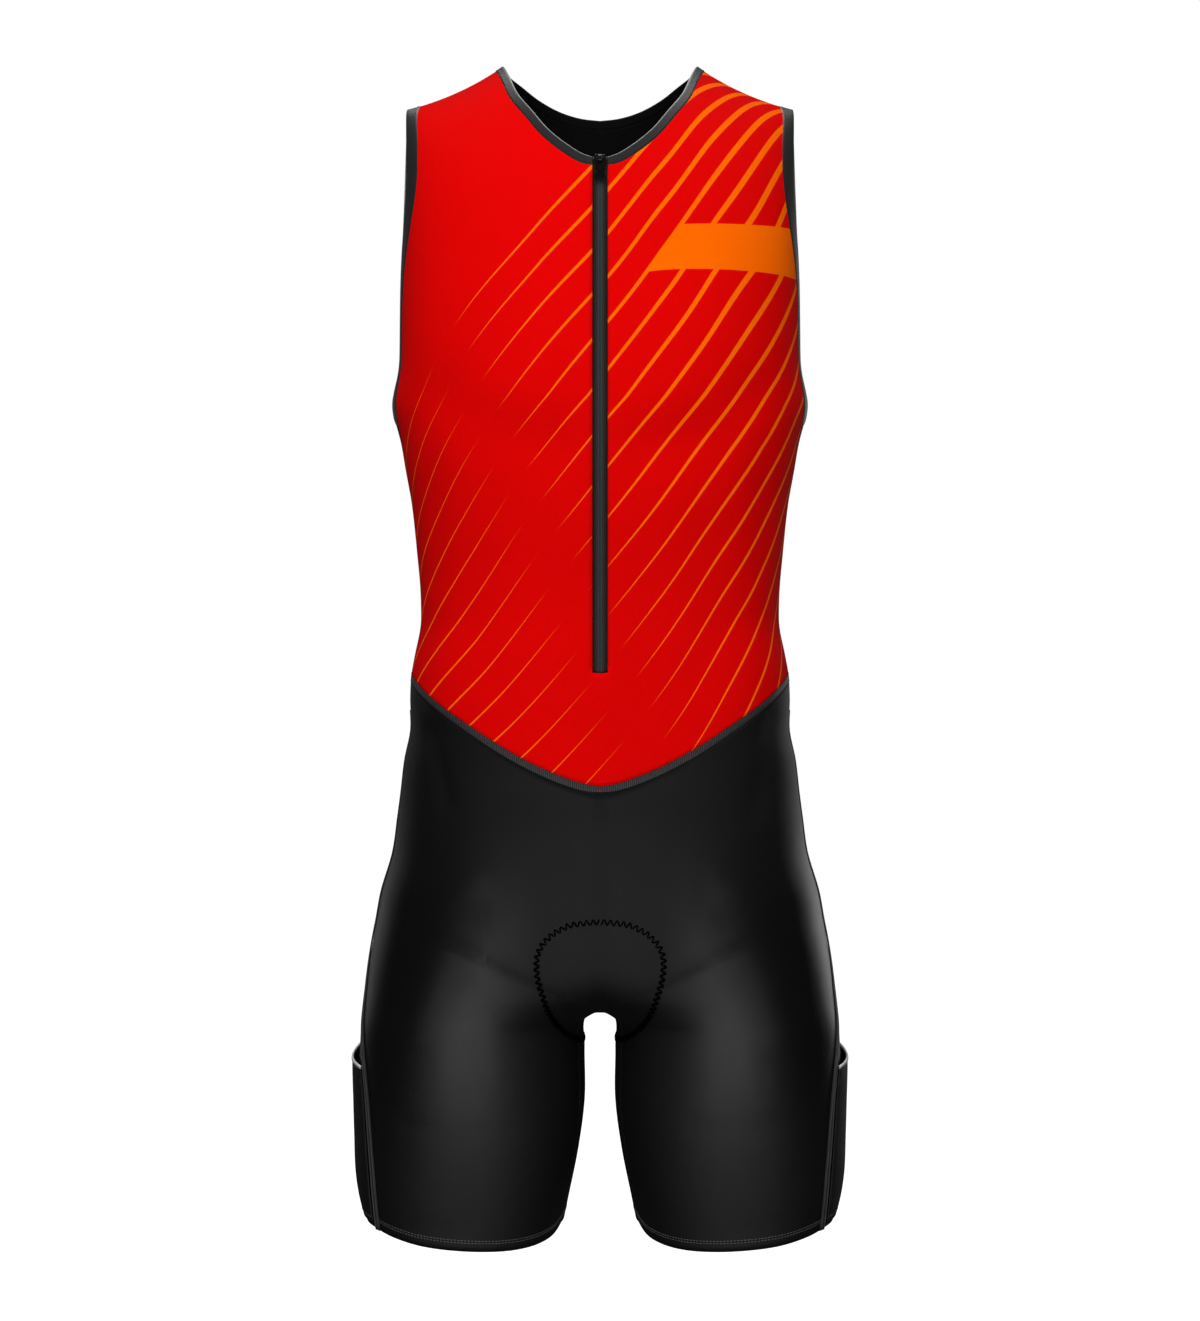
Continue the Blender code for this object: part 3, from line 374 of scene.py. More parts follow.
class Value:
    """A number in a material's nodes, worked with as in plain sums."""

    def __init__(self, finish, socket):
        self.finish = finish
        self.socket = socket

    def sum(self, operation, *others):
        return self.finish.node("ShaderNodeMath", {"operation": operation}, [self, *others])

    def __add__(self, other):
        return self.sum("ADD", other)

    def __sub__(self, other):
        return self.sum("SUBTRACT", other)

    def __rsub__(self, other):
        return self.finish.node("ShaderNodeMath", {"operation": "SUBTRACT"}, [other, self])

    def __mul__(self, other):
        return self.sum("MULTIPLY", other)

    def __truediv__(self, other):
        return self.sum("DIVIDE", other)

    def __abs__(self):
        return self.sum("ABSOLUTE")

    __radd__ = __add__
    __rmul__ = __mul__

    def wave(self, period):
        """Runs smoothly between -1 and 1 and back over each period."""
        return (self * (2 * math.pi / period)).sum("SINE")

    def rises(self, low, high):
        """0 below low, 1 above high, smooth between."""
        return self.finish.node("ShaderNodeMapRange", {"interpolation_type": "SMOOTHSTEP"},
                                {"Value": self, "From Min": low, "From Max": high})


class Finish:
    """A material that is put together node by node."""

    def __init__(self, name, **constants):
        self.material = bpy.data.materials.new(name)
        self.material.use_nodes = True
        self.tree = self.material.node_tree
        self.shader = self.tree.nodes["Principled BSDF"]
        self.paint(**constants)

    def plug(self, socket, value):
        if isinstance(value, Value):
            self.tree.links.new(value.socket, socket)
        else:
            socket.default_value = value

    def node(self, kind, settings=None, inputs=(), output=0):
        """One node: its type, its settings, its sockets' values or links, and which of its
        outputs to go on with."""
        made = self.tree.nodes.new(kind)
        for name, value in (settings or {}).items():
            setattr(made, name, value)
        pairs = inputs.items() if isinstance(inputs, dict) else enumerate(inputs)
        for key, value in pairs:
            self.plug(made.inputs[key], value)
        return Value(self, made.outputs[output])

    def attribute(self, name):
        return self.node("ShaderNodeAttribute", {"attribute_name": name}, output="Fac")

    def cloth_place(self):
        """How far across and up the cloth a spot is, in metres."""
        place = self.node("ShaderNodeUVMap", {"uv_map": "cloth"})
        apart = {"Vector": place}
        return [self.node("ShaderNodeSeparateXYZ", None, apart, axis) for axis in "XY"]

    def object_place(self, axis):
        """How far a spot is along an axis, in metres."""
        place = self.node("ShaderNodeTexCoord", output="Object")
        return self.node("ShaderNodeSeparateXYZ", None, {"Vector": place}, axis)

    def noise(self, size):
        """Soft random blotches of about a size, between 0 and 1."""
        place = self.node("ShaderNodeTexCoord", output="Object")
        return self.node("ShaderNodeTexNoise", None,
                         {"Vector": place, "Scale": 1 / size, "Detail": 2}, "Fac")

    def mix(self, share, first, second):
        """A colour between two colours."""
        made = self.tree.nodes.new("ShaderNodeMix")
        made.data_type = "RGBA"
        colours = [socket for socket in made.inputs if socket.type == "RGBA"]
        self.plug(made.inputs["Factor"], share)
        for socket, colour in zip(colours, (first, second)):
            self.plug(socket, colour if isinstance(colour, Value) else (*colour, 1))
        return Value(self, next(s for s in made.outputs if s.type == "RGBA"))

    def paint(self, **values):
        """Links or sets sockets of the shader, named with underscores for spaces."""
        for name, value in values.items():
            self.plug(self.shader.inputs[name.replace("_", " ")], value)

    def dyed(self, size, dark, light):
        """Colours it in soft blotches of about a size, between two colours."""
        self.paint(Base_Color=self.mix(self.noise(size), dark, light))

    def bump(self, height, distance):
        """Raises the surface by height times distance."""
        inputs = {"Height": height, "Distance": distance, "Strength": 1.0}
        self.paint(Normal=self.node("ShaderNodeBump", None, inputs))


def jersey(across, up, wale=0.9 * MM, course=0.7 * MM):
    """Height of plain knitting: columns of small V-shaped loops."""
    column = (across / wale).sum("FRACT") - 0.5
    loop = (up / course + abs(column) * 1.1).wave(1.0)
    return loop * 0.4 + (column * 2 * math.pi).sum("COSINE") * 0.5


def add_piece(name, bm, finish, node=None, body="suit"):
    """Makes a finished piece of a bmesh and puts it on its body."""
    mesh = bpy.data.meshes.new(name)
    bm.to_mesh(mesh)
    bm.free()
    mesh.shade_smooth()
    mesh.set_sharp_from_angle(angle=math.radians(50))
    mesh.materials.append(finish.material)
    piece = bpy.data.objects.new(name, mesh)
    bpy.context.scene.collection.objects.link(piece)
    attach(piece, body)
    if node:
        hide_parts(node)
    return piece


def cloth(name, points, finish, node=None, wall=CLOTH, place=None, drawn=None, side=1,
          cut=None):
    """Sews one piece of cloth from a grid of points. place gives each point's way across
    and up the cloth, drawn gives named values for its material, side -1 makes the right
    piece of a pair, and cut marks squares left open. A grid that closes on itself has no
    wall, and its ends are closed."""
    rows, columns = points.shape[:2]
    bm = bmesh.new()
    bmesh.ops.create_grid(bm, x_segments=columns - 1, y_segments=rows - 1, size=0.5)
    flat = bm.loops.layers.uv.new("cloth")
    layers = {key: bm.verts.layers.float.new(key) for key in (drawn or {})}
    if place is None:
        steps_across = np.linalg.norm(np.diff(points, axis=1), axis=-1).mean(axis=0)
        steps_up = np.linalg.norm(np.diff(points, axis=0), axis=-1).mean(axis=1)
        across = np.concatenate([[0], np.cumsum(steps_across)])
        up = np.concatenate([[0], np.cumsum(steps_up)])
        place = np.stack(np.meshgrid(across, up), axis=-1)
    at = {}
    for vert in bm.verts:
        at[vert] = (round((vert.co.y + 0.5) * (rows - 1)), round((vert.co.x + 0.5) * (columns - 1)))
        for key, layer in layers.items():
            vert[layer] = drawn[key][at[vert]]
    for face in bm.faces:
        for loop in face.loops:
            loop[flat].uv = place[at[loop.vert]]
    if cut is not None:
        gone = [face for face in bm.faces
                if cut[min(at[v][0] for v in face.verts), min(at[v][1] for v in face.verts)]]
        bmesh.ops.delete(bm, geom=gone, context="FACES")
    for vert in bm.verts:
        x, y, z = points[at[vert]]
        vert.co = (x * side, y, z)
    bmesh.ops.remove_doubles(bm, verts=bm.verts, dist=1e-6)
    if side < 0:
        bmesh.ops.reverse_faces(bm, faces=bm.faces)
    if not wall:
        bmesh.ops.holes_fill(bm, edges=[edge for edge in bm.edges if edge.is_boundary])
        bmesh.ops.recalc_face_normals(bm, faces=bm.faces)
    piece = add_piece(name, bm, finish, node)
    if wall:
        solidify = piece.modifiers.new("wall", "SOLIDIFY")
        solidify.thickness = wall
        solidify.offset = 0
    return piece


SIDE_ROWS = 9 * FINE
TORSO_ROWS = SIDE_ROWS + ARMHOLE_ROWS
FRONT_COLUMNS = 9 * FINE
SLOT_ROW = 3 * FINE
TRIM = HALF_GAP / BODY_RADIUS

arm_angle, arm_height = armhole_edge(ARMHOLE_BINDING_WIDTH - TUCK)
neck_front, neck_back = neck_edge(NECK_BINDING_WIDTH - TUCK)
side_heights = np.linspace(WAIST_SIDE - TUCK, arm_height[ARMHOLE_ROWS], SIDE_ROWS + 1)[:-1]
down_the_arm = slice(ARMHOLE_ROWS, None, -1)
front_side_angle = np.concatenate([side_seam(side_heights), arm_angle[down_the_arm]]) - TRIM
front_side_height = np.concatenate([side_heights, arm_height[down_the_arm]])
slot_rows = TORSO_ROWS - SLOT_ROW - NECK_SAMPLES + 2
below_slot = np.linspace(WAIST_CENTRE - TUCK, ZIP_BOTTOM, SLOT_ROW + 1)[:-1]
beside_slot = np.linspace(ZIP_BOTTOM, neck_front[1][0], slot_rows)
slot_heights = np.concatenate([below_slot, beside_slot[:-1]])
front_centre_angle = np.concatenate([slot_angle(slot_heights), neck_front[0]])
front_centre_height = np.concatenate([slot_heights, neck_front[1]])
front_centre_height[-1] = SHOULDER
angle, height = torso_rows(front_side_angle, front_side_height, front_centre_angle,
                           front_centre_height, np.linspace(0, 1, FRONT_COLUMNS + 1))
strip_height = np.concatenate([slot_heights, neck_front[1]])
angle = np.column_stack([np.zeros(TORSO_ROWS + 1), angle[:, 0] / 2, angle])
height = np.column_stack([strip_height, strip_height, height])
height[0, :2] = waist_seam(angle[0, :2]) - TUCK
seam_angles = angle[0]
front_across = both_sides(girth(angle, height))
front_up = both_sides(height, 1)
front_points = both_sides(torso_point(angle, height))
middle_column = front_points.shape[1] // 2
cut = np.zeros(front_points.shape[:2], bool)
cut[SLOT_ROW:, middle_column - 2:middle_column + 2] = True

# The printed lines, in two fans. Each table gives, across the front (columns) and up it
# (rows, lowest first), how many lines there are to that spot, and how wide a line is
# there as a share of their spacing. Less than nothing is no line. The four tables were
# fitted by a program, and aren't sizes that a maker laid out by hand.
BOLD_COUNT = [
    [7.53, 8.95, 10.37, 11.82, 13.33, 14.96, 16.53, 18.28, 20.47],
    [4.75, 6.18, 7.62, 9.09, 10.61, 12.32, 14.28, 16.1, 18.16],
    [1.95, 3.41, 4.87, 6.37, 7.96, 9.61, 11.52, 13.39, 15.4],
    [-0.92, 0.58, 2.07, 3.64, 5.25, 6.94, 8.64, 10.37, 12.22],
    [-3.91, -2.36, -0.77, 0.49, 1.69, 3.9, 6.09, 7.75, 9.34],
    [-7.05, -5.58, -4.17, -2.98, -1.68, 0.74, 3.43, 5.7, 7.65],
    [-10.33, -8.9, -7.5, -6.08, -4.34, -1.95, 0.87, 3.7, 6.23],
    [-13.65, -12.21, -10.72, -9.03, -6.96, -4.4, -1.41, 1.68, 4.59],
]
BOLD_WIDTH = [
    [-0.181, -0.119, -0.051, 0.038, 0.119],
    [-0.114, -0.058, 0.022, 0.091, 0.134],
    [-0.055, 0.016, 0.098, 0.157, 0.17],
    [0.014, 0.104, 0.158, 0.223, 0.272],
    [0.078, 0.158, 0.227, 0.311, 0.383],
]
THIN_COUNT = [
    [7.68, 9.32, 10.66, 11.91, 13.35, 14.89, 16.48, 18.1, 19.72],
    [4.31, 5.81, 7.33, 9.01, 10.64, 12.28, 13.91, 15.55, 17.19],
    [1.36, 2.89, 4.56, 6.37, 8.04, 9.7, 11.35, 13.0, 14.65],
    [-1.4, 0.3, 2.07, 3.8, 5.48, 7.14, 8.81, 10.46, 12.12],
    [-4.02, -2.22, -0.48, 1.23, 2.92, 4.59, 6.26, 7.92, 9.59],
    [-6.61, -4.82, -3.07, -1.35, 0.35, 2.04, 3.71, 5.38, 7.06],
    [-9.18, -7.42, -5.66, -3.93, -2.22, -0.52, 1.16, 2.84, 4.52],
    [-11.76, -10.0, -8.25, -6.51, -4.79, -3.08, -1.39, 0.3, 1.98],
]
THIN_WIDTH = [
    [0.151, 0.109, 0.037, -0.04, -0.112],
    [0.104, 0.053, -0.039, -0.106, -0.18],
    [0.049, -0.03, -0.108, -0.18, -0.252],
    [-0.029, -0.11, -0.184, -0.255, -0.327],
    [-0.108, -0.185, -0.259, -0.331, -0.403],
]
PRINT_REACH = 0.20              # the tables run this far to each side of the centre front
PRINT_FOOT = -0.56
PRINT_TOP = 0.14


def between(table, across, up):
    """A print table's value at any spot of the front, as a smooth surface."""
    table = np.array(table)
    for turn in range(2):
        table = np.vstack([2 * table[0] - table[1], table, 2 * table[-1] - table[-2]]).T
    rows, columns = table.shape
    x = (across + PRINT_REACH) / (2 * PRINT_REACH) * (columns - 3)
    y = (up - PRINT_FOOT) / (PRINT_TOP - PRINT_FOOT) * (rows - 3)
    column = np.clip(np.floor(x), 0, columns - 4).astype(int)
    row = np.clip(np.floor(y), 0, rows - 4).astype(int)

    def weights(q):
        return [-0.5 * q + q ** 2 - 0.5 * q ** 3, 1 - 2.5 * q ** 2 + 1.5 * q ** 3,
                0.5 * q + 2 * q ** 2 - 1.5 * q ** 3, -0.5 * q ** 2 + 0.5 * q ** 3]

    total = 0
    for i, share_up in enumerate(weights(y - row)):
        for j, share_across in enumerate(weights(x - column)):
            total = total + share_up * share_across * table[row + i, column + j]
    return total


printed = {
    "bold_count": between(BOLD_COUNT, front_across, front_up),
    "bold_width": between(BOLD_WIDTH, front_across, front_up),
    "thin_count": between(THIN_COUNT, front_across, front_up),
    "thin_width": between(THIN_WIDTH, front_across, front_up),
}
HAIRLINE = 0.55                 # how much narrower the narrowest thin lines are drawn
wide = smooth_step(printed["thin_width"], 0.05, 0.25)
printed["thin_width"] *= HAIRLINE + (1 - HAIRLINE) * wide

RED = (0.74, 0.0012, 0.001)
DEEP_RED = (0.66, 0.001, 0.001)
ORANGE = (1.0, 0.155, 0.0)
DEEP_ORANGE = (0.95, 0.12, 0.0)
BOLD_LINES = 17                 # number of the last line in each fan
THIN_LINES = 13
LINE_SOFTNESS = 0.012
LINE_START = 0.02               # width up to which a line fades in at its end

red_knit = Finish("red knit", Specular_IOR_Level=0.02)
across, up = red_knit.cloth_place()
orange_share = None
for fan, last in (("bold", BOLD_LINES), ("thin", THIN_LINES)):
    count = red_knit.attribute(fan + "_count")
    width = red_knit.attribute(fan + "_width")
    off_line = abs(count - count.sum("ROUND"))
    line = (width / 2 - off_line).rises(-LINE_SOFTNESS, LINE_SOFTNESS)
    line = line * width.rises(0.0, LINE_START) * count.sum("GREATER_THAN", -0.5)
    line = line * count.sum("LESS_THAN", last + 0.5)
    orange_share = line if orange_share is None else orange_share.sum("MAXIMUM", line)
# Chest band on the wearer's left, its inner end cut on a slant along the lines. A long
# edge is given by its bend, slope and level, which also came from a fitting program.
BAND_TOP = (-1.1179, 0.573, -0.17225)
BAND_FOOT = (-1.0412, 0.4322, -0.19692)
BAND_CORNER = (0.0383, -0.1817)         # its lower inner corner, across and up
BAND_SLANT = 1.594                      # rise of the inner end for each step across
EDGE = 0.25 * MM                        # how far its edges blur


def band_edge(across, form):
    bend, slope, level = form
    return across * across * bend + across * slope + level


inner_end = (up - BAND_CORNER[1]) / BAND_SLANT + BAND_CORNER[0]
band = (band_edge(across, BAND_TOP) - up).rises(-EDGE, EDGE)
band = band * (up - band_edge(across, BAND_FOOT)).rises(-EDGE, EDGE)
band = band * (across - inner_end).rises(-EDGE, EDGE)
orange_share = orange_share.sum("MAXIMUM", band)
cloud = red_knit.noise(0.09)
red = red_knit.mix(cloud, RED, DEEP_RED)
orange = red_knit.mix(cloud, ORANGE, DEEP_ORANGE)
red_knit.paint(Base_Color=red_knit.mix(orange_share, red, orange))
red_knit.paint(Roughness=0.78 + 0.1 * red_knit.noise(2 * MM))
red_knit.bump(jersey(across, up), 0.06 * MM)

FRONT_FOLDS = [
    ([(-120, -262), (-86, -286), (-38, -296)], 24, -2.8),
    ([(120, -260), (88, -288), (40, -300)], 24, -3.2),
    ([(-70, -215), (-62, -235)], 44, 2.4),
    ([(68, -213), (60, -234)], 44, 2.4),
    ([(14, -360), (16, -430), (12, -500)], 14, 0.8),
    ([(-14, -360), (-15, -430), (-12, -500)], 14, 0.7),
    ([(84, -380), (96, -430), (80, -480)], 22, -1.6),
    ([(-92, -392), (-100, -436), (-86, -478)], 20, -1.1),
    ([(132, -300), (128, -352), (124, -392)], 12, -1.0),
    ([(-134, -306), (-128, -350), (-125, -396)], 12, -0.8),
]
front_points = pressed(front_points, FRONT_FOLDS)
piece = cloth("torso_front_jersey", front_points, red_knit, "torso_front",
              place=np.stack([front_across, front_up], axis=-1), drawn=printed, cut=cut)

# ---- Torso back -----------------------------------------------------------------------
# Black stretch jersey with faint level ribs, cut in one piece from side to side. It meets
# the front at the side seams and the shoulders, and its foot is under the waist band.

BACK_COLUMNS = 9 * FINE
BLACK = (0.0035, 0.0035, 0.0037)
SOFT_BLACK = (0.0048, 0.0048, 0.005)
RIB = 2.4 * MM


def two_halves(half, folds, centre, whole):
    """Both halves of a panel side by side, each with its own folds. centre is the half's
    column on the centre plane, its first or last, up to the row where the panel parts."""
    halves = []
    for side in (1, -1):
        marks = [([(x * side, z) for x, z in path], wide, out) for path, wide, out in folds]
        part = pressed(half, marks)
        part[:whole + 1, centre, 0] = 0
        halves.append(mirrored(part, side))
    left, right = halves
    if centre == 0:
        return np.concatenate([right[:, ::-1], left], axis=1)
    return np.concatenate([left, right[:, ::-1]], axis=1)


black_knit = Finish("black knit", Specular_IOR_Level=0.25)
across, up = black_knit.cloth_place()
rib = up.wave(RIB)
black_knit.dyed(0.05, BLACK, SOFT_BLACK)
black_knit.paint(Roughness=0.66 + 0.1 * black_knit.noise(2 * MM))
black_knit.bump(jersey(across, up) * 0.5 + rib * 0.5, 0.1 * MM)

back_side_angle = np.concatenate([side_seam(side_heights), arm_angle[ARMHOLE_ROWS:]]) + TRIM
back_side_height = np.concatenate([side_heights, arm_height[ARMHOLE_ROWS:]])
back_rows = TORSO_ROWS + 2 - BACK_NECK_SAMPLES
centre_back = np.linspace(WAIST_BACK - TUCK, neck_back[1][0], back_rows)[:-1]
back_centre_angle = np.concatenate([np.full(back_rows - 1, math.pi), neck_back[0]])
back_centre_height = np.concatenate([centre_back, neck_back[1]])
angle, height = torso_rows(back_side_angle, back_side_height, back_centre_angle,
                           back_centre_height, np.linspace(0, 1, BACK_COLUMNS + 1))
back_seam_angles = angle[0, ::-1]
from_centre = girth(angle, height) - girth(angle * 0 + math.pi, height)
halves = torso_point(angle, height)[:, ::-1]
BACK_FOLDS = [
    ([(-6, -120), (0, -300), (4, -430)], 16, -2.2),
    ([(-70, -180), (-84, -250)], 40, 2.2),
    ([(74, -176), (82, -246)], 40, 2.0),
    ([(-100, -420), (-40, -446), (20, -452)], 9, -1.6),
    ([(96, -404), (52, -424), (10, -430)], 10, -1.5),
    ([(-110, -380), (-60, -400)], 8, -1.0),
    ([(-92, -462), (-20, -472), (60, -468)], 7, -1.2),
]
back_points = two_halves(halves, BACK_FOLDS, -1, back_rows - 1)
back_across = np.concatenate([from_centre[:, ::-1], -from_centre], axis=1)
back_up = np.concatenate([height[:, ::-1], height], axis=1)
gap = np.zeros(back_up.shape, bool)
gap[back_rows - 1:, BACK_COLUMNS] = True
piece = cloth("torso_back_jersey", back_points, black_knit, "torso_back",
              place=np.stack([back_across, back_up], axis=-1), cut=gap)

# ---- Neck and armhole bindings --------------------------------------------------------
# Strips of black satin elastic, folded over the cloth's raw edge and sewn down with a
# coverstitch. Along each fold a thin light grey line is painted on: a painted highlight
# where the fold catches the light.

BINDING_WALL = 2.4 * MM
FOLD_ROUND = 0.9 * MM
# how far from the fold the painted highlight along it reaches
FOLD_HIGHLIGHT_REACH = 1.1 * MM
TWILL = 1.1 * MM
CHARCOAL = (0.012, 0.012, 0.0125)
GREY = (0.021, 0.021, 0.022)
# colour of the painted highlight along each fold, where the fold catches the light
FOLD_HIGHLIGHT_GREY = (0.25, 0.25, 0.26)
PALE_GREY = (0.7, 0.7, 0.72)    # the free edge of the pockets' binding


def binding_section(width):
    """Loop round a folded strip's section: distance in from the fold, and out from the
    cloth. It starts and ends at the inner side's far edge."""
    half = BINDING_WALL / 2
    turn = np.linspace(-math.pi / 2, math.pi / 2, 9)
    fold = [(FOLD_ROUND * (1 - math.cos(t)), half * math.sin(t)) for t in turn]
    over = [(width * s, half * (1 - 0.12 * s)) for s in (0.3, 0.5, 0.7, 0.86)]
    edge = [(width * 0.97, half * 0.8), (width, half * 0.55)]
    inner = [(d, -n) for d, n in (over + edge)[::-1]]
    return inner + fold + over + edge + [inner[0]]


def bound_edge(edge, width):
    """Grid of points of a folded strip along an edge. edge(distance) gives the line of
    points that lies that far in from the free edge, with the way out of the cloth."""
    return np.stack([edge(d)[0] + edge(d)[1] * n for d, n in binding_section(width)])


def fold_marks(points, width):
    """Which rows of a folded strip lie inside, and how near they are to the fold."""
    section = np.array(binding_section(width))
    level = np.ones(points.shape[1])[None, :]
    return {"inside": (section[:, 1] < 0)[:, None] * level,
            "fold": (np.exp(-(section[:, 0] / FOLD_HIGHLIGHT_REACH) ** 2))[:, None] * level}


def torso_outward(angle, height):
    """Way straight out of the torso at a place on it."""
    nudge = 1e-4
    by_angle = torso_point(angle + nudge, height) - torso_point(angle - nudge, height)
    low = np.minimum(height, SHOULDER - nudge)
    by_height = torso_point(angle, low + nudge) - torso_point(angle, low - nudge)
    return unit(np.cross(by_angle, by_height))


def neck_line(distance):
    """Points round the neck, a distance in from its edge, with the way out of the cloth."""
    front_part, back_part = neck_edge(distance)
    lines = []
    for make in (torso_point, torso_outward):
        line = np.concatenate([make(*front_part), make(*back_part)[-2::-1]])
        lines.append(np.concatenate([line, mirrored(line[-2::-1])]))
    return lines[0], unit(lines[1])


def armhole_line(distance):
    """Points round the left armhole, as neck_line gives them for the neck."""
    place = armhole_edge(distance)
    lines = [torso_point(*place), torso_outward(*place)]
    for line in lines:
        line[-1] = line[0] = (line[0] + line[-1]) / 2
    return lines[0], unit(lines[1])


binding = Finish("binding elastic", Specular_IOR_Level=0.6)
across, up = binding.cloth_place()
twill = (across + up).wave(TWILL)
# Painted highlight: a thin light grey line along the fold, where it catches the light
fold_highlight = binding.attribute("fold").rises(0.55, 0.95)
pale_edge = binding.attribute("fold").rises(1.2, 2.4)
inside = binding.attribute("inside").rises(0.4, 0.6)
weave_and_highlight = binding.mix(twill * 0.5 + 0.5, CHARCOAL, GREY)
weave_and_highlight = binding.mix(fold_highlight, weave_and_highlight, FOLD_HIGHLIGHT_GREY)
weave_and_highlight = binding.mix(pale_edge, weave_and_highlight, PALE_GREY)
binding.paint(Base_Color=binding.mix(inside, weave_and_highlight, SOFT_BLACK))
binding.paint(Roughness=0.46 + 0.1 * binding.noise(3 * MM) + 0.4 * inside)


def stitch(bm, start, end, out, radius):
    """Adds one short stitch of thread between two points that lie on the cloth."""
    way = Vector((end - start) / 2)
    out = Vector(out)
    out = (out - way * (out.dot(way) / way.dot(way))).normalized()
    aside = out.cross(way).normalized()
    turn = Matrix((way, aside * radius, out * radius)).transposed()
    place = Matrix.Translation(Vector((start + end) / 2)) @ turn.to_4x4()
    bmesh.ops.create_icosphere(bm, subdivisions=1, radius=1, matrix=place)


def spots_at(at, along, points):
    """Points at distances along a path."""
    return np.stack([np.interp(at, along, points[:, i]) for i in range(3)], axis=-1)


def stitch_row(bm, path, out, pitch, radius=0.24 * MM, share=0.82):
    """Adds a row of even stitches along a path."""
    along = along_path(path)
    count = max(round(along[-1] / pitch), 1)
    middles = (np.arange(count) + 0.5) * along[-1] / count
    reach = along[-1] / count * share / 2
    starts = spots_at(middles - reach, along, path)
    ends = spots_at(middles + reach, along, path)
    for start, end, straight_out in zip(starts, ends, spots_at(middles, along, out)):
        stitch(bm, start, end, straight_out, radius)


thread = Finish("polyester thread", Roughness=0.7, Specular_IOR_Level=0.1)
THREAD_DARK = (0.014, 0.014, 0.015)
THREAD_LIGHT = (0.03, 0.03, 0.031)
thread.dyed(4 * MM, THREAD_DARK, THREAD_LIGHT)
thread.bump(thread.noise(0.3 * MM), 0.02 * MM)

STITCH = 2.6 * MM
STITCH_PLACE = 0.84             # where the stitches lie, as a share of the strip's width
SIDES = ((1, "left"), (-1, "right"))

strip = bound_edge(neck_line, NECK_BINDING_WIDTH)
piece = cloth("neck_binding_elastic", strip, binding, "neck_binding", wall=None,
              drawn=fold_marks(strip, NECK_BINDING_WIDTH))
bm = bmesh.new()
line, out = neck_line(NECK_BINDING_WIDTH * STITCH_PLACE)
stitch_row(bm, line + out * BINDING_WALL / 2, out, STITCH)
add_piece("neck_binding_stitches", bm, thread)

for side, word in SIDES:
    strip = bound_edge(armhole_line, ARMHOLE_BINDING_WIDTH)[:, ::-1]
    piece = cloth("armhole_binding_" + word + "_elastic", strip, binding,
                  "armhole_binding_" + word, wall=None, side=side,
                  drawn=fold_marks(strip, ARMHOLE_BINDING_WIDTH))
    bm = bmesh.new()
    line, out = armhole_line(ARMHOLE_BINDING_WIDTH * STITCH_PLACE)
    stitch_row(bm, mirrored(line + out * BINDING_WALL / 2, side), mirrored(out, side), STITCH)
    add_piece("armhole_binding_" + word + "_stitches", bm, thread)

# ---- Waist band over the V seam -------------------------------------------------------
# The red top and the black shorts meet in a V. A coverstitch band of dense cross threads
# lies over the seam, with a row of small stitches along each edge, and a short red bar
# tack holds its point.

WAIST_BAND_WIDTH = 7 * MM
BAND_BULGE = 1.9 * MM
CROSS_THREAD = 1.7 * MM
BAND_STITCH_ROWS = ((0.1, 2.4 * MM), (0.92, 3.0 * MM))     # place up the band, and pitch
BAR_TACK = (0.5, 0.004, 0.003)
STITCH_SINK = 0.95              # the stitches lie a little in the threads
TACK_ENDS = (0.3, 0.6)          # places up the band
TACK_PITCH = 0.8 * MM
TACK_RIB = 0.7 * MM

band_threads = Finish("coverstitch band", Specular_IOR_Level=0.45)
across, up = band_threads.cloth_place()
cross_thread = across.wave(CROSS_THREAD)
BAND_DARK = (0.004, 0.004, 0.0045)
BAND_LIGHT = (0.055, 0.055, 0.058)
band_threads.paint(Base_Color=band_threads.mix(cross_thread * 0.5 + 0.5, BAND_DARK,
                                               BAND_LIGHT))
band_threads.paint(Roughness=0.5 + 0.1 * band_threads.noise(3 * MM))
band_threads.bump(cross_thread * 0.5 + 0.5, 0.2 * MM)

front_round = np.concatenate([-seam_angles[:0:-1], seam_angles])
back_round = 2 * math.pi - back_seam_angles[:-1]
back_round = np.concatenate([back_seam_angles, back_round[::-1]])
# Section of the band: places up it, and how far it stands out there
BAND_STEPS = [(0.00, 0.2), (0.08, 0.75), (0.2, 0.95), (0.5, 1.0), (0.8, 0.95), (0.92, 0.75),
              (1.00, 0.2)]


def band_line(angles, share, stand):
    """Line of points along the band: share runs from its lower to its upper edge."""
    height = waist_seam(angles) - WAIST_BAND_WIDTH * (1 - share)
    return torso_point(angles, height) + torso_outward(angles, height) * stand


for word, angles, flat in (("front", front_round, 0.36), ("back", back_round, 0.32)):
    outer = [band_line(angles, share, BAND_BULGE / 2 * stand) for share, stand in BAND_STEPS]
    inner = [band_line(angles, share, -BAND_BULGE / 2 * stand) for share, stand in BAND_STEPS]
    loop = np.stack(inner[::-1] + outer + inner[-1:])
    piece = cloth("waist_band_" + word + "_threads", loop, band_threads,
                  "waist_band_" + word, wall=None)
    bm = bmesh.new()
    for share, pitch in BAND_STITCH_ROWS:
        out = torso_outward(angles, waist_seam(angles))
        line = band_line(angles, share, BAND_BULGE / 2 * STITCH_SINK)
        stitch_row(bm, line, out, pitch)
    add_piece("waist_band_" + word + "_stitches", bm, thread)

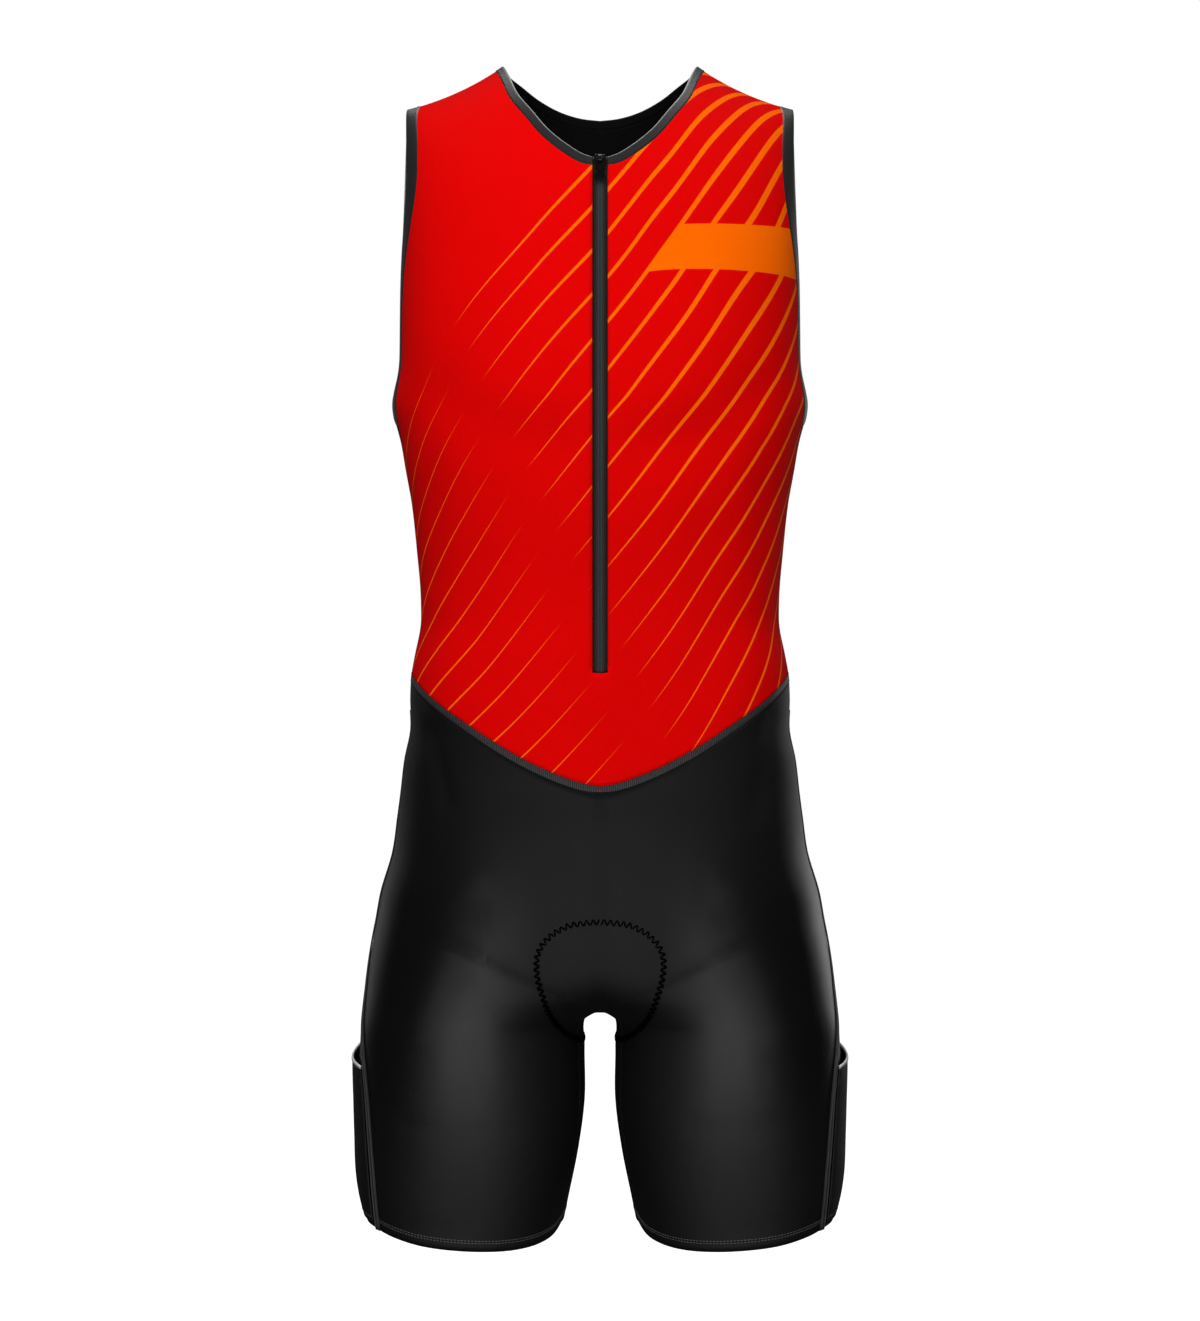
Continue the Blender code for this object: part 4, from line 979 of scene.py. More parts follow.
tack = Finish("red bar tack", Roughness=0.6)
tack_rib = tack.object_place("Z").wave(TACK_RIB)
tack.paint(Base_Color=tack.mix(tack_rib * 0.5 + 0.5, BAR_TACK, DEEP_RED))
tack.bump(tack_rib, 0.1 * MM)
bm = bmesh.new()
tack_line = np.array([band_line(np.array([0.0]), share, BAND_BULGE / 2)[0]
                      for share in TACK_ENDS])
tack_out = np.tile([0.0, -1.0, 0.0], (len(TACK_ENDS), 1))
stitch_row(bm, tack_line, tack_out, TACK_PITCH, radius=0.6 * MM, share=1.1)
add_piece("waist_band_bar_tack", bm, tack)

# ---- Shorts ---------------------------------------------------------------------------
# Black satin stretch knit: a front and a back, each cut in one piece across both thighs,
# and an inner panel that runs down one inner thigh, through the crotch and down the other.
# Each leg's hem is turned up and held by two rows of stitches.

LEG_SEAM_COLUMNS = ["height", "side_angle", "inner_front", "inner_back"]
LEG_SEAMS = np.array([
    (-930, 50.0, 22.0, 24.0),
    (-861, 53.2, 29.0, 32.0),
    (-800, 59.3, 34.0, 38.0),
    (-740, 73.5, 36.0, 40.0),
    (-680, 86.0, 36.0, 40.0),
    (-600, 90.0, 36.0, 40.0),
    (-470, 92.0, 36.0, 40.0),
])
RAY_AXIS_COLUMNS = ["height", "across"]
RAY_AXIS = np.array([
    (-930, 108.0), (-776, 103.2), (-740, 97.0), (-690, 82.0), (-600, 66.0), (-470, 60.0),
])
HEM_SIDE = -914 * MM
HEM_COLUMNS = ["angle", "drop"]
HEM_FORM = np.array([
    (-100, 0.0), (-74, 0.0), (-60, 6.0), (-45, 9.0), (-30, 10.2), (-10, 9.5), (0, 8.6),
    (20, 6.0), (40, 1.5), (55, -1.5), (70, -1.5), (90, -1.0), (140, 0.0), (260, 0.0),
])
GAP_TOP = -764 * MM             # level of the axis that the crotch's arch is drawn round
SEAT_PAD_CENTRE = (0.0, 0.004, -0.7068)
SEAT_PAD_REACH = (0.037, 0.075, 0.0415)
CROTCH_BLEND = 2.5 * MM
CENTRE_ROWS = 7 * FINE
THIGH_ROWS = 6 * FINE
ARCH_WAYS = np.interp(np.linspace(0, 4, 4 * FINE + 1), range(5), [0, 0.25, 0.42, 0.62, 1.0])
SHORTS_ROWS = CENTRE_ROWS + len(ARCH_WAYS) - 1 + THIGH_ROWS


def outside(x, y, z):
    """Distance, roughly, from a point to the hips and thighs: negative inside them."""
    centre = figure("leg_centre", z)
    half = figure("half_width", z) - centre
    depth = np.where(y < 0, figure("front_depth", z), figure("back_depth", z))
    offset = np.abs(x) - centre
    offset = np.where(offset < 0, offset * np.minimum(figure("split", z), 1), offset)
    angle = np.arctan2(offset / half, -y / depth)
    body = (np.hypot(offset / half, y / depth) / roundness(angle) - 1) * np.minimum(half, depth)
    steps = [(value - middle) / reach
             for value, middle, reach in zip((x, y, z), SEAT_PAD_CENTRE, SEAT_PAD_REACH)]
    pad = (np.sqrt(steps[0] ** 4 + steps[1] ** 2 + steps[2] ** 2) - 1) * min(SEAT_PAD_REACH)
    mix = np.clip(0.5 + 0.5 * (pad - body) / CROTCH_BLEND, 0, 1)
    return pad * (1 - mix) + body * mix - CROTCH_BLEND * mix * (1 - mix)


def shoot(start, direction, reach=0.34, steps=110, leaving=True, halvings=18):
    """Points where rays from start first leave the figure, or first meet it."""
    start = np.asarray(start, float)
    direction = np.asarray(direction, float)
    sign = 1 if leaving else -1
    near = np.zeros(start.shape[:-1])
    found = np.zeros(near.shape, bool)
    for distance in np.linspace(0, reach, steps)[1:]:
        spot = start + direction * distance
        found |= sign * outside(spot[..., 0], spot[..., 1], spot[..., 2]) > 0
        near = np.where(found, near, distance)
    far = near + reach / (steps - 1)
    for halving in range(halvings):
        middle = (near + far) / 2
        spot = start + direction * middle[..., None]
        crossed = sign * outside(spot[..., 0], spot[..., 1], spot[..., 2]) > 0
        far = np.where(crossed, middle, far)
        near = np.where(crossed, near, middle)
    return start + direction * near[..., None]


def leg_axis(z):
    return read(RAY_AXIS, RAY_AXIS_COLUMNS, "across", np.asarray(z) / MM) * MM


def leg_point(angle, z):
    """Point on the shorts at an angle round the wearer's left leg (0 at the front, 90
    degrees at the outer side, negative toward the centre) and a height."""
    angle, z = np.broadcast_arrays(np.asarray(angle, float), np.asarray(z, float))
    start = np.stack([leg_axis(z), 0 * z, z], axis=-1)
    direction = np.stack([np.sin(angle), -np.cos(angle), 0 * z], axis=-1)
    return shoot(start, direction)


def leg_angle(point, forward=True):
    """Angle round the leg at which a point is seen from the leg's axis."""
    angle = np.arctan2(point[..., 0] - leg_axis(point[..., 2]), -point[..., 1])
    return angle if forward else angle % (2 * math.pi)


def inner_point(way, y):
    """Point on the crotch and inner thigh, found from inside the gap between the legs. way
    is 0 at the middle of the crotch, 1 where the thigh starts, then 1 plus metres down."""
    way, y = np.broadcast_arrays(np.asarray(way, float), np.asarray(y, float))
    tilt = np.clip(way, 0, 1) * math.pi / 2
    start = np.stack([0 * way, y, GAP_TOP - np.maximum(way - 1, 0)], axis=-1)
    direction = np.stack([np.sin(tilt), 0 * way, np.cos(tilt)], axis=-1)
    return shoot(start, direction, reach=0.11, leaving=False)


def hem_height(angle):
    return HEM_SIDE - read(HEM_FORM, HEM_COLUMNS, "drop", np.degrees(angle)) * MM


thigh_ways = 1 + np.linspace(0, GAP_TOP - HEM_SIDE, THIGH_ROWS + 1)[1:]
inner_ways = np.concatenate([ARCH_WAYS, thigh_ways])
way_heights = GAP_TOP - np.maximum(inner_ways - 1, 0)


def inner_reach(name):
    """How far the inner panel reaches forward or back, at each of its rows."""
    return read(LEG_SEAMS, LEG_SEAM_COLUMNS, name, way_heights / MM) * MM


def blend(top, bottom, first, last):
    """Grid filled in between four edges: top and bottom rows, first and last columns."""
    u = np.linspace(0, 1, len(top))[None, :]
    v = np.linspace(0, 1, len(first))[:, None]
    across = top[None, :] * (1 - v) + bottom[None, :] * v
    down = first[:, None] * (1 - u) + last[:, None] * u
    corners = (top[0] * (1 - u) + top[-1] * u) * (1 - v)
    return across + down - corners - (bottom[0] * (1 - u) + bottom[-1] * u) * v


def leg_side(top_angle, top_height):
    """Angles and heights down a leg's side seam, from the waist to the hem."""
    hem_angle = np.radians(read(LEG_SEAMS, LEG_SEAM_COLUMNS, "side_angle", HEM_SIDE / MM))
    heights = np.linspace(top_height, hem_height(hem_angle), SHORTS_ROWS + 1)
    angles = np.radians(read(LEG_SEAMS, LEG_SEAM_COLUMNS, "side_angle", heights / MM))
    fade = np.linspace(1, 0, SHORTS_ROWS + 1) ** 3
    return angles + (top_angle - angles[0]) * fade, heights


def shorts_half(seam_angle, forward, trim):
    """Half of the shorts' front or back: points from the side seam to the centre, and below
    the crotch to the inner panel."""
    top = torso_point(seam_angle, waist_seam(seam_angle) - WAIST_BAND_WIDTH + TUCK)
    reach = inner_reach("inner_front") if forward else inner_reach("inner_back")
    ahead = -1 if forward else 1
    seam = inner_point(inner_ways, ahead * (reach + HALF_GAP))
    ease = np.sin(np.linspace(0, 1, CENTRE_ROWS + 1)[:-1] * math.pi / 2)
    centre_z = top[-1, 2] + (seam[0, 2] - top[-1, 2]) * ease
    middle = np.stack([0 * centre_z, 0 * centre_z, centre_z], axis=-1)
    inner = np.concatenate([shoot(middle, np.array([0, ahead, 0])), seam])
    inner[0] = top[-1]
    top_angle = leg_angle(top, forward)
    inner_angle = leg_angle(inner, forward)
    side_angle, side_z = leg_side(top_angle[0], top[0, 2])
    side_angle = side_angle + trim
    top_angle[0] = side_angle[0]
    hem_angle = np.linspace(side_angle[-1], inner_angle[-1], len(seam_angle))
    hem_z = hem_height(hem_angle)
    side_z[-1] = hem_z[0]
    hem_z[-1] = inner[-1, 2]
    angles = blend(top_angle, hem_angle, side_angle, inner_angle)
    heights = blend(top[:, 2], hem_z, side_z, inner[:, 2])
    points = leg_point(angles, heights)
    points[0] = top
    points[:, -1] = inner
    return points


HEM_WIDTH = 8.5 * MM
SATIN_BLACK = (0.0026, 0.0026, 0.0027)
SATIN_GREY = (0.0036, 0.0036, 0.0037)
SLACK_ROUGHNESS = 0.62
STRETCH_SHINE = 0.27            # how much smoother the stretched knit is
STRETCH_FOOT = (0.02, 0.18)     # heights above the hem between which the stretch sets in
STRETCH_TOP = (0.38, 0.24)      # and between which it is gone again
STRETCH_SIDE = (0.04, 0.1)      # distances from the centre plane between which it sets in

satin = Finish("black satin knit", Specular_IOR_Level=0.5)
across, up = satin.cloth_place()
above_hem = satin.attribute("above_hem")
hem = above_hem.rises(HEM_WIDTH + 0.6 * MM, HEM_WIDTH - 0.6 * MM)
satin.dyed(0.06, SATIN_BLACK, SATIN_GREY)
# Stretched over the thighs the knit lies flatter and shines more
stretched = above_hem.rises(*STRETCH_FOOT) * above_hem.rises(*STRETCH_TOP)
stretched = stretched * abs(satin.object_place("X")).rises(*STRETCH_SIDE)
satin.paint(Roughness=SLACK_ROUGHNESS - STRETCH_SHINE * stretched + 0.03 * satin.noise(0.02))
satin.bump(jersey(across, up, 0.6 * MM, 0.5 * MM) * 0.5 + hem * 1.5, 0.06 * MM)

SHORTS_FOLDS = [
    ([(-134, -520), (-126, -545), (-120, -572)], 7, -2.2),
    ([(-142, -500), (-128, -520)], 6, -1.2),
    ([(136, -512), (128, -548), (122, -580)], 9, -1.5),
    ([(-38, -742), (-58, -700), (-84, -650)], 15, -1.6),
    ([(38, -742), (58, -700), (84, -652)], 15, -1.6),
    ([(0, -590), (0, -620)], 20, 0.8),
    ([(-150, -826), (-110, -832), (-70, -828)], 8, -0.5),
    ([(150, -822), (112, -830), (74, -826)], 8, -0.5),
    ([(-148, -902), (-104, -908)], 6, -0.5),
    ([(146, -900), (100, -908)], 6, -0.5),
]
SEAT_FOLDS = [
    ([(-18, -720), (-60, -742), (-100, -744)], 15, -1.8),
    ([(18, -722), (62, -744), (104, -744)], 15, -1.6),
    ([(0, -560), (0, -640), (0, -700)], 12, -3.0),
    ([(-130, -510), (-80, -530), (-30, -528)], 8, -1.3),
    ([(126, -516), (70, -536), (24, -530)], 8, -1.2),
    ([(-140, -800), (-100, -812), (-70, -806)], 8, -0.8),
    ([(142, -806), (104, -816), (72, -808)], 8, -0.8),
]


def hem_row(points, above, height):
    """Line of points on a leg's cloth at a height above the hem, with the way out of it."""
    out = outward(points)
    lines = []
    for values in (points, out):
        lines.append(np.array([[np.interp(height, above[::-1, column], values[::-1, column, i])
                                for i in range(3)] for column in range(points.shape[1])]))
    return lines[0] + lines[1] * CLOTH / 2, lines[1]


front_half = shorts_half(seam_angles[::-1], True, 0.0)
back_half = shorts_half(back_seam_angles, False, 2 * TRIM)
HEM_ROWS = (8.6 * MM, 6.7 * MM)
HEM_REACH = 3 * FINE            # rows of the cloth that the hem lies in
HEM_STITCH = 2.7 * MM
HEM_THREAD = 0.3 * MM
HEM_GREY = (0.1, 0.1, 0.104)
HEM_LIGHT = (0.15, 0.15, 0.155)
hem_thread = Finish("hem thread", Roughness=0.45, Specular_IOR_Level=0.5)
hem_thread.dyed(4 * MM, HEM_GREY, HEM_LIGHT)
hem_threads = bmesh.new()
for word, half, folds, centre, flat, area in (
        ("front", front_half, SHORTS_FOLDS, -1, (0.55, 0.46), 0.165),
        ("back", back_half[:, ::-1], SEAT_FOLDS, 0, (0.62, 0.46), 0.215)):
    points = two_halves(half, folds, centre, CENTRE_ROWS)
    above = points[..., 2] - points[-1:, :, 2]
    gap = np.zeros(above.shape, bool)
    gap[CENTRE_ROWS:, half.shape[1] - 1] = True
    piece = cloth("shorts_" + word + "_satin", points, satin,
                  "shorts_" + word, drawn={"above_hem": above}, cut=gap)
    for leg in (slice(None, half.shape[1]), slice(half.shape[1], None)):
        for height in HEM_ROWS:
            line, out = hem_row(points[-HEM_REACH:, leg], above[-HEM_REACH:, leg], height)
            stitch_row(hem_threads, line, out, HEM_STITCH, HEM_THREAD)

share = np.linspace(0, 1, 3 * FINE + 1)[None, :]
front_y = -inner_reach("inner_front")[:, None] + HALF_GAP
back_y = inner_reach("inner_back")[:, None] - HALF_GAP
inner_panel = inner_point(inner_ways[:, None], front_y + (back_y - front_y) * share)
panel = np.concatenate([mirrored(inner_panel[:0:-1]), inner_panel])
above = panel[..., 2] - inner_panel[-1:, :, 2]
piece = cloth("inner_leg_panel_satin", panel, satin, "inner_leg_panel",
              drawn={"above_hem": above})
for side, word in SIDES:
    for height in HEM_ROWS:
        line, out = hem_row(inner_panel[-HEM_REACH:], above[-HEM_REACH:], height)
        stitch_row(hem_threads, mirrored(line, side), mirrored(out, side), HEM_STITCH,
                   HEM_THREAD)
add_piece("hem_stitches", hem_threads, hem_thread)

# ---- Side seam tapes ------------------------------------------------------------------
# A flat tape covers each thigh's side seam, from the hip to the hem. It is sewn down with
# a raised row of thread along each of its edges.

SEAM_TAPE_WIDTH = 8 * MM
LEG_RADIUS = 95 * MM            # of a thigh, to turn the tape's width into an angle
THIN_WALL = 1.0 * MM
LAID_ON = CLOTH / 2 + SEAM_GAP + THIN_WALL / 2
TAPE_STEPS = np.linspace(1, -1, 13)
TAPE_RIB = 1.1 * MM
TAPE_RIDGE = 0.45 * MM
RIDGE_PLACE = 0.62              # from the tape's middle, as a share of half its width
RIDGE_SPREAD = 0.24
TAPE_DARK = (0.02, 0.02, 0.021)
TAPE_LIGHT = (0.1, 0.1, 0.103)

tape_finish = Finish("seam tape", Specular_IOR_Level=0.5)
across, up = tape_finish.cloth_place()
tape_rib = up.wave(TAPE_RIB)
from_middle = abs(across - SEAM_TAPE_WIDTH / 2)
raised = from_middle.rises(1.0 * MM, 1.8 * MM) * from_middle.rises(3.7 * MM, 3.1 * MM)
tape_finish.paint(Base_Color=tape_finish.mix(raised * (0.85 + 0.15 * tape_rib), TAPE_DARK,
                                             TAPE_LIGHT))
tape_finish.paint(Roughness=0.46 + 0.1 * tape_finish.noise(3 * MM))
tape_finish.bump(tape_rib, 0.1 * MM)

top_side = front_half[0, 0]
side_angle, side_z = leg_side(leg_angle(top_side), top_side[2])
tape_rows = np.arange(FINE, SHORTS_ROWS + 1)
tape_angle = side_angle[tape_rows, None] + SEAM_TAPE_WIDTH / 2 / LEG_RADIUS * TAPE_STEPS
tape = leg_point(tape_angle, side_z[tape_rows, None])
ridge = TAPE_RIDGE * (np.exp(-((np.abs(TAPE_STEPS) - RIDGE_PLACE) / RIDGE_SPREAD) ** 2) - 0.5)
tape = tape + outward(tape) * (LAID_ON + ridge)[None, :, None]
for side, word in SIDES:
    piece = cloth("side_seam_tape_" + word + "_woven", tape, tape_finish,
                  "side_seam_tape_" + word, wall=THIN_WALL, side=side)

# ---- Thigh pockets --------------------------------------------------------------------
# An open pocket of satin knit behind each side seam, sewn to the thigh down both sides and
# along its foot. Its mouth is bound and stands off the leg.

POCKET_FRONT_STEP = math.radians(4)
POCKET_BACK = math.radians(142)
POCKET_MOUTH_FRONT = -790 * MM
POCKET_MOUTH_BACK = -775 * MM
POCKET_BOTTOM = -908 * MM
POCKET_RIM = 3.2 * MM
POCKET_CLEARANCE = 0.6 * MM
POCKET_COLUMN_NAMES = ["share_down", "stand_off"]
POCKET_FORM = np.array([
    (0.00, 4.4), (0.25, 3.6), (0.50, 3.4), (0.75, 3.6), (0.90, 2.0), (1.00, 0.0),
])
POCKET_STITCH_ROWS = (0.070, 0.088, 0.965)
MOUTH_SAG = 0.8 * MM            # the mouth waves in and out by this, in three half waves
SAG_REACH = 0.3                 # share of the pocket's height over which the wave dies out
RIM_CROWN = 0.5 * MM
RIM_WALL = THIN_WALL + 0.4 * MM
FREE_EDGE = 2.6                 # value that the binding's finish paints pale


def pocket_point(across, down, lifted=0.0):
    """Point on the pocket, across from its front edge to its back edge and down from its
    mouth (0) to its foot (1), with the way out of it."""
    mouth = POCKET_MOUTH_FRONT + (POCKET_MOUTH_BACK - POCKET_MOUTH_FRONT) * across
    z = mouth + (POCKET_BOTTOM - mouth) * down
    front = np.interp(-z, -side_z, side_angle) + POCKET_FRONT_STEP
    angle = front + (POCKET_BACK - front) * across
    puff = read(POCKET_FORM, POCKET_COLUMN_NAMES, "stand_off", down) * MM
    lift = LAID_ON + POCKET_CLEARANCE + puff * np.sin(math.pi * across) ** 0.7 + lifted
    base = leg_point(angle, z)
    nudge = 1e-4
    aside, below = leg_point(angle - nudge, z) - base, leg_point(angle, z - nudge) - base
    normal = unit(np.cross(aside, below))
    return base + normal * lift[..., None], normal


across = np.linspace(1, 0, 7 * FINE + 1)[None, :]
down = np.linspace(0, 1, 8 * FINE + 1)[:, None]
sag = MOUTH_SAG * np.sin(3 * math.pi * across) * np.exp(-(down / SAG_REACH) ** 2)
pocket_body, out = pocket_point(across + 0 * down, down + 0 * across, sag)
rim_share = POCKET_RIM / (POCKET_MOUTH_FRONT - POCKET_BOTTOM)
gap_share = SEAM_GAP / (POCKET_MOUTH_FRONT - POCKET_BOTTOM)
rim_steps = np.linspace(0, 1, 7)[:, None]
rim_down = -gap_share - rim_share * (1 - rim_steps)
rim_crown = RIM_CROWN * np.sin(math.pi * rim_steps) + 0 * across
pocket_rim, out = pocket_point(across + 0 * rim_down, rim_down + 0 * across, rim_crown + sag[0])
for side, word in SIDES:
    piece = cloth("pocket_" + word + "_satin", pocket_body, satin,
                  "pocket_" + word, wall=THIN_WALL, side=side,
                  drawn={"above_hem": np.full(pocket_body.shape[:2], 1.0)})
    piece = cloth("pocket_binding_" + word + "_elastic", pocket_rim, binding,
                  "pocket_binding_" + word, wall=RIM_WALL, side=side,
                  drawn={"fold": FREE_EDGE * (1 - rim_steps) + 0 * across,
                         "inside": 0 * rim_crown})
    bm = bmesh.new()
    for row in POCKET_STITCH_ROWS:
        stitch_across = np.linspace(0.99, 0.01, 60)
        line, out = pocket_point(stitch_across, row + 0 * stitch_across, THIN_WALL / 2)
        stitch_row(bm, mirrored(line, side), mirrored(out, side), HEM_STITCH, HEM_THREAD)
    add_piece("pocket_" + word + "_stitches", bm, hem_thread)

# ---- Seat pad -------------------------------------------------------------------------
# Moulded foam pad with a brushed cover, sewn to the inside of the crotch with a zigzag
# that shows on the outside. It is thickest in its middle, with a channel down it.

PAD_AXIS_HEIGHT = -667 * MM
PAD_COLUMN_NAMES = ["turn", "half_width"]
PAD_FORM = np.array([
    (-0.9, 0.0), (-0.6, 9.0), (0.0, 18.0), (2.4, 30.3), (6.8, 41.4), (13, 48.0),
    (20, 48.8), (32, 44.0), (48, 38.0), (66, 34.0), (84, 31.0), (102, 33.0), (120, 44.0),
    (138, 56.0), (156, 62.0), (172, 58.0), (182, 40.0), (186, 20.0), (187, 0.0),
])
PAD_STAND = CLOTH / 2 + 1.2 * MM
PAD_EDGE = 1.2 * MM
PAD_MIDDLE = 7.5 * MM
# Middle channel and the groove beside it, as shares of the thickness and the half width
CHANNEL_DEPTH = 0.55
CHANNEL_WIDTH = 0.13
CHANNEL_REACH = 0.8
GROOVE_DEPTH = 0.4
GROOVE_PLACE = 0.62
GROOVE_WIDTH = 0.08
PAD_STEPS = 14                  # from the centre to the pad's edge
SUB_STEPS = 4
PULLS = 2
PAD_MIDDLE_TURN = 93.05         # the outline's turns run this far (degrees) to both sides
PAD_TURN_REACH = 93.93
ZIGZAG = 2.9 * MM
ZIGZAG_STEP = 2.5 * MM
ZIGZAG_THREAD = 0.8 * MM
ZIGZAG_BLACK = (0.0006, 0.0006, 0.0006)
ZIGZAG_SOFT = (0.0015, 0.0015, 0.0015)


def trace(turn, half_width, count):
    """Points along the cloth from the centre plane sideways, within the half-planes that
    turn about the pad's axis. Before each step a spot is pulled back onto the cloth."""
    ahead = np.stack([0 * turn, -np.cos(turn), -np.sin(turn)], axis=-1)
    aside = np.array([1.0, 0.0, 0.0])
    axis = np.zeros_like(ahead)
    axis[:, 2] = PAD_AXIS_HEIGHT
    spot = shoot(axis, ahead)
    rows = [spot]
    nudge = 1e-5
    for step in range(count * SUB_STEPS):
        for pull in range(PULLS + 1):
            value = outside(spot[:, 0], spot[:, 1], spot[:, 2])
            right = spot + aside * nudge
            far = spot + ahead * nudge
            slope_aside = (outside(right[:, 0], right[:, 1], right[:, 2]) - value) / nudge
            slope_ahead = (outside(far[:, 0], far[:, 1], far[:, 2]) - value) / nudge
            steep = slope_aside ** 2 + slope_ahead ** 2
            slope = slope_aside[:, None] * aside + slope_ahead[:, None] * ahead
            if pull < PULLS:
                spot = spot - slope * (value / steep)[:, None]
        along = slope_ahead[:, None] * aside - slope_aside[:, None] * ahead
        along /= np.sqrt(steep)[:, None]
        spot = spot + along * (half_width / (count * SUB_STEPS))[:, None]
        if step % SUB_STEPS == SUB_STEPS - 1:
            rows.append(spot)
    return np.stack(rows, axis=1)


pad_cover = Finish("pad cover", Roughness=0.9, Specular_IOR_Level=0.2, Sheen_Weight=0.3)
PAD_GREY = (0.035, 0.035, 0.038)
PAD_LIGHT = (0.06, 0.06, 0.064)
pad_cover.dyed(0.02, PAD_GREY, PAD_LIGHT)
pad_cover.bump(pad_cover.noise(1.5 * MM), 0.3 * MM)

pad_turn = np.radians(np.linspace(1, 181, 61))
pad_width = read(PAD_FORM, PAD_COLUMN_NAMES, "half_width", np.degrees(pad_turn)) * MM
pad_half = trace(pad_turn, pad_width, PAD_STEPS)
pad_grid = both_sides(pad_half)[::-1]
pad_out = outward(pad_grid)
u = np.linspace(-1, 1, pad_grid.shape[1])[None, :]
v = np.linspace(-1, 1, pad_grid.shape[0])[:, None]
channel = 1 - CHANNEL_DEPTH * np.exp(-(u / CHANNEL_WIDTH) ** 2) * (np.abs(v) < CHANNEL_REACH)
groove = GROOVE_DEPTH * np.exp(-((np.abs(u) - GROOVE_PLACE) / GROOVE_WIDTH) ** 2)
channel = channel * (1 - groove)
thick = PAD_EDGE + (PAD_MIDDLE - PAD_EDGE) * (1 - np.abs(u) ** 3) * (1 - v ** 6) * channel
outer_face = pad_grid - pad_out * PAD_STAND
inner_face = pad_grid - pad_out * (PAD_STAND + thick)[..., None]
pad_loop = np.concatenate([outer_face, inner_face[:, ::-1], outer_face[:, :1]], axis=1)
piece = cloth("seat_pad_foam", pad_loop, pad_cover, "seat_pad", wall=None)

edge_turn = np.radians(PAD_MIDDLE_TURN
                       - PAD_TURN_REACH * np.cos(np.linspace(0, math.pi, 400)))
edge_width = read(PAD_FORM, PAD_COLUMN_NAMES, "half_width", np.degrees(edge_turn)) * MM
edge_line = trace(edge_turn, np.maximum(edge_width, 0), PAD_STEPS)[:, -1]
edge_line = np.concatenate([edge_line, mirrored(edge_line[::-1]), edge_line[:1]])
along = along_path(edge_line)
spots = spots_at(np.arange(0, along[-1], ZIGZAG_STEP), along, edge_line)
nudge = 1e-5
out = unit(np.stack([outside(*(spots + nudge * step).T) - outside(*spots.T)
                     for step in np.eye(3)], axis=-1))
aside = unit(np.cross(out, np.gradient(spots, axis=0)))
swing = np.where(np.arange(len(spots)) % 2, 1, -1) * ZIGZAG
spots = spots + aside * swing[:, None] + out * (CLOTH / 2 + 0.2 * MM)
bm = bmesh.new()
for start, end, straight_out in zip(spots[:-1], spots[1:], out):
    stitch(bm, start, end, straight_out, ZIGZAG_THREAD)
zigzag_thread = Finish("black zigzag thread", Roughness=0.9, Specular_IOR_Level=0.0)
zigzag_thread.dyed(3 * MM, ZIGZAG_BLACK, ZIGZAG_SOFT)
add_piece("pad_zigzag_stitches", bm, zigzag_thread)

# ---- Zip ------------------------------------------------------------------------------
# A closed coil zip, its coil on the inside. Each woven tape lies flat beside the other
# from the neck down to a squared end, with a raised rib over the coil and a folded edge.

TAPE_WALL = 1.2 * MM
ZIP_ROWS = 160
ZIP_STEPS = np.array([0.15, 0.6, 1.0, 1.4, 1.75, 2.1, 3.0, 3.9, 4.3, 4.7, 5.1, 5.65]) * MM
ZIP_LIFTS = np.array([0.0, 0.35, 0.4, 0.3, -0.15, -0.2, -0.05, -0.05, -0.3, 0.1, 0.3, 0.05]) * MM
ZIP_END_ROUND = 3 * MM
ZIP_END_LOSS = 0.3              # share of its width that a tape loses at its foot
HERRING_WIDTH = 2.4 * MM
HERRING_STEP = 1.2 * MM

zip_weave = Finish("zip tape", Specular_IOR_Level=0.4)
across, up = zip_weave.cloth_place()
slant = abs(((across / HERRING_WIDTH).sum("FRACT") - 0.5) * 3.0)
herring = (slant + up / HERRING_STEP).wave(1.0)
ZIP_GREY = (0.017, 0.017, 0.018)
ZIP_LIGHT = (0.026, 0.026, 0.027)
# painted highlight on the tape's raised rib and rim, then painted shade in its groove and edges
ZIP_RIB_HIGHLIGHT = (0.04, 0.041, 0.043)
ZIP_GROOVE_SHADE = (0.007, 0.008, 0.008)
weave_and_highlight = zip_weave.mix(herring * 0.5 + 0.5, ZIP_GREY, ZIP_LIGHT)
# Painted light and shade: rib and rim painted paler as if lit, groove and edges darker as if shaded
rib = across.rises(0.3 * MM, 0.7 * MM) * across.rises(1.9 * MM, 1.4 * MM)
rim = across.rises(4.0 * MM, 4.3 * MM) * across.rises(5.1 * MM, 4.8 * MM)
groove = across.rises(3.4 * MM, 3.7 * MM) * across.rises(4.2 * MM, 4.0 * MM)
edge = across.rises(4.9 * MM, 5.2 * MM) + across.rises(0.4 * MM, 0.1 * MM)
weave_and_highlight = zip_weave.mix((rib * 0.7).sum("MAXIMUM", rim), weave_and_highlight, ZIP_RIB_HIGHLIGHT)
zip_weave.paint(Base_Color=zip_weave.mix(groove.sum("MAXIMUM", edge), weave_and_highlight, ZIP_GROOVE_SHADE))
zip_weave.paint(Roughness=0.5 + 0.1 * zip_weave.noise(3 * MM))
zip_weave.bump(herring, 0.08 * MM)

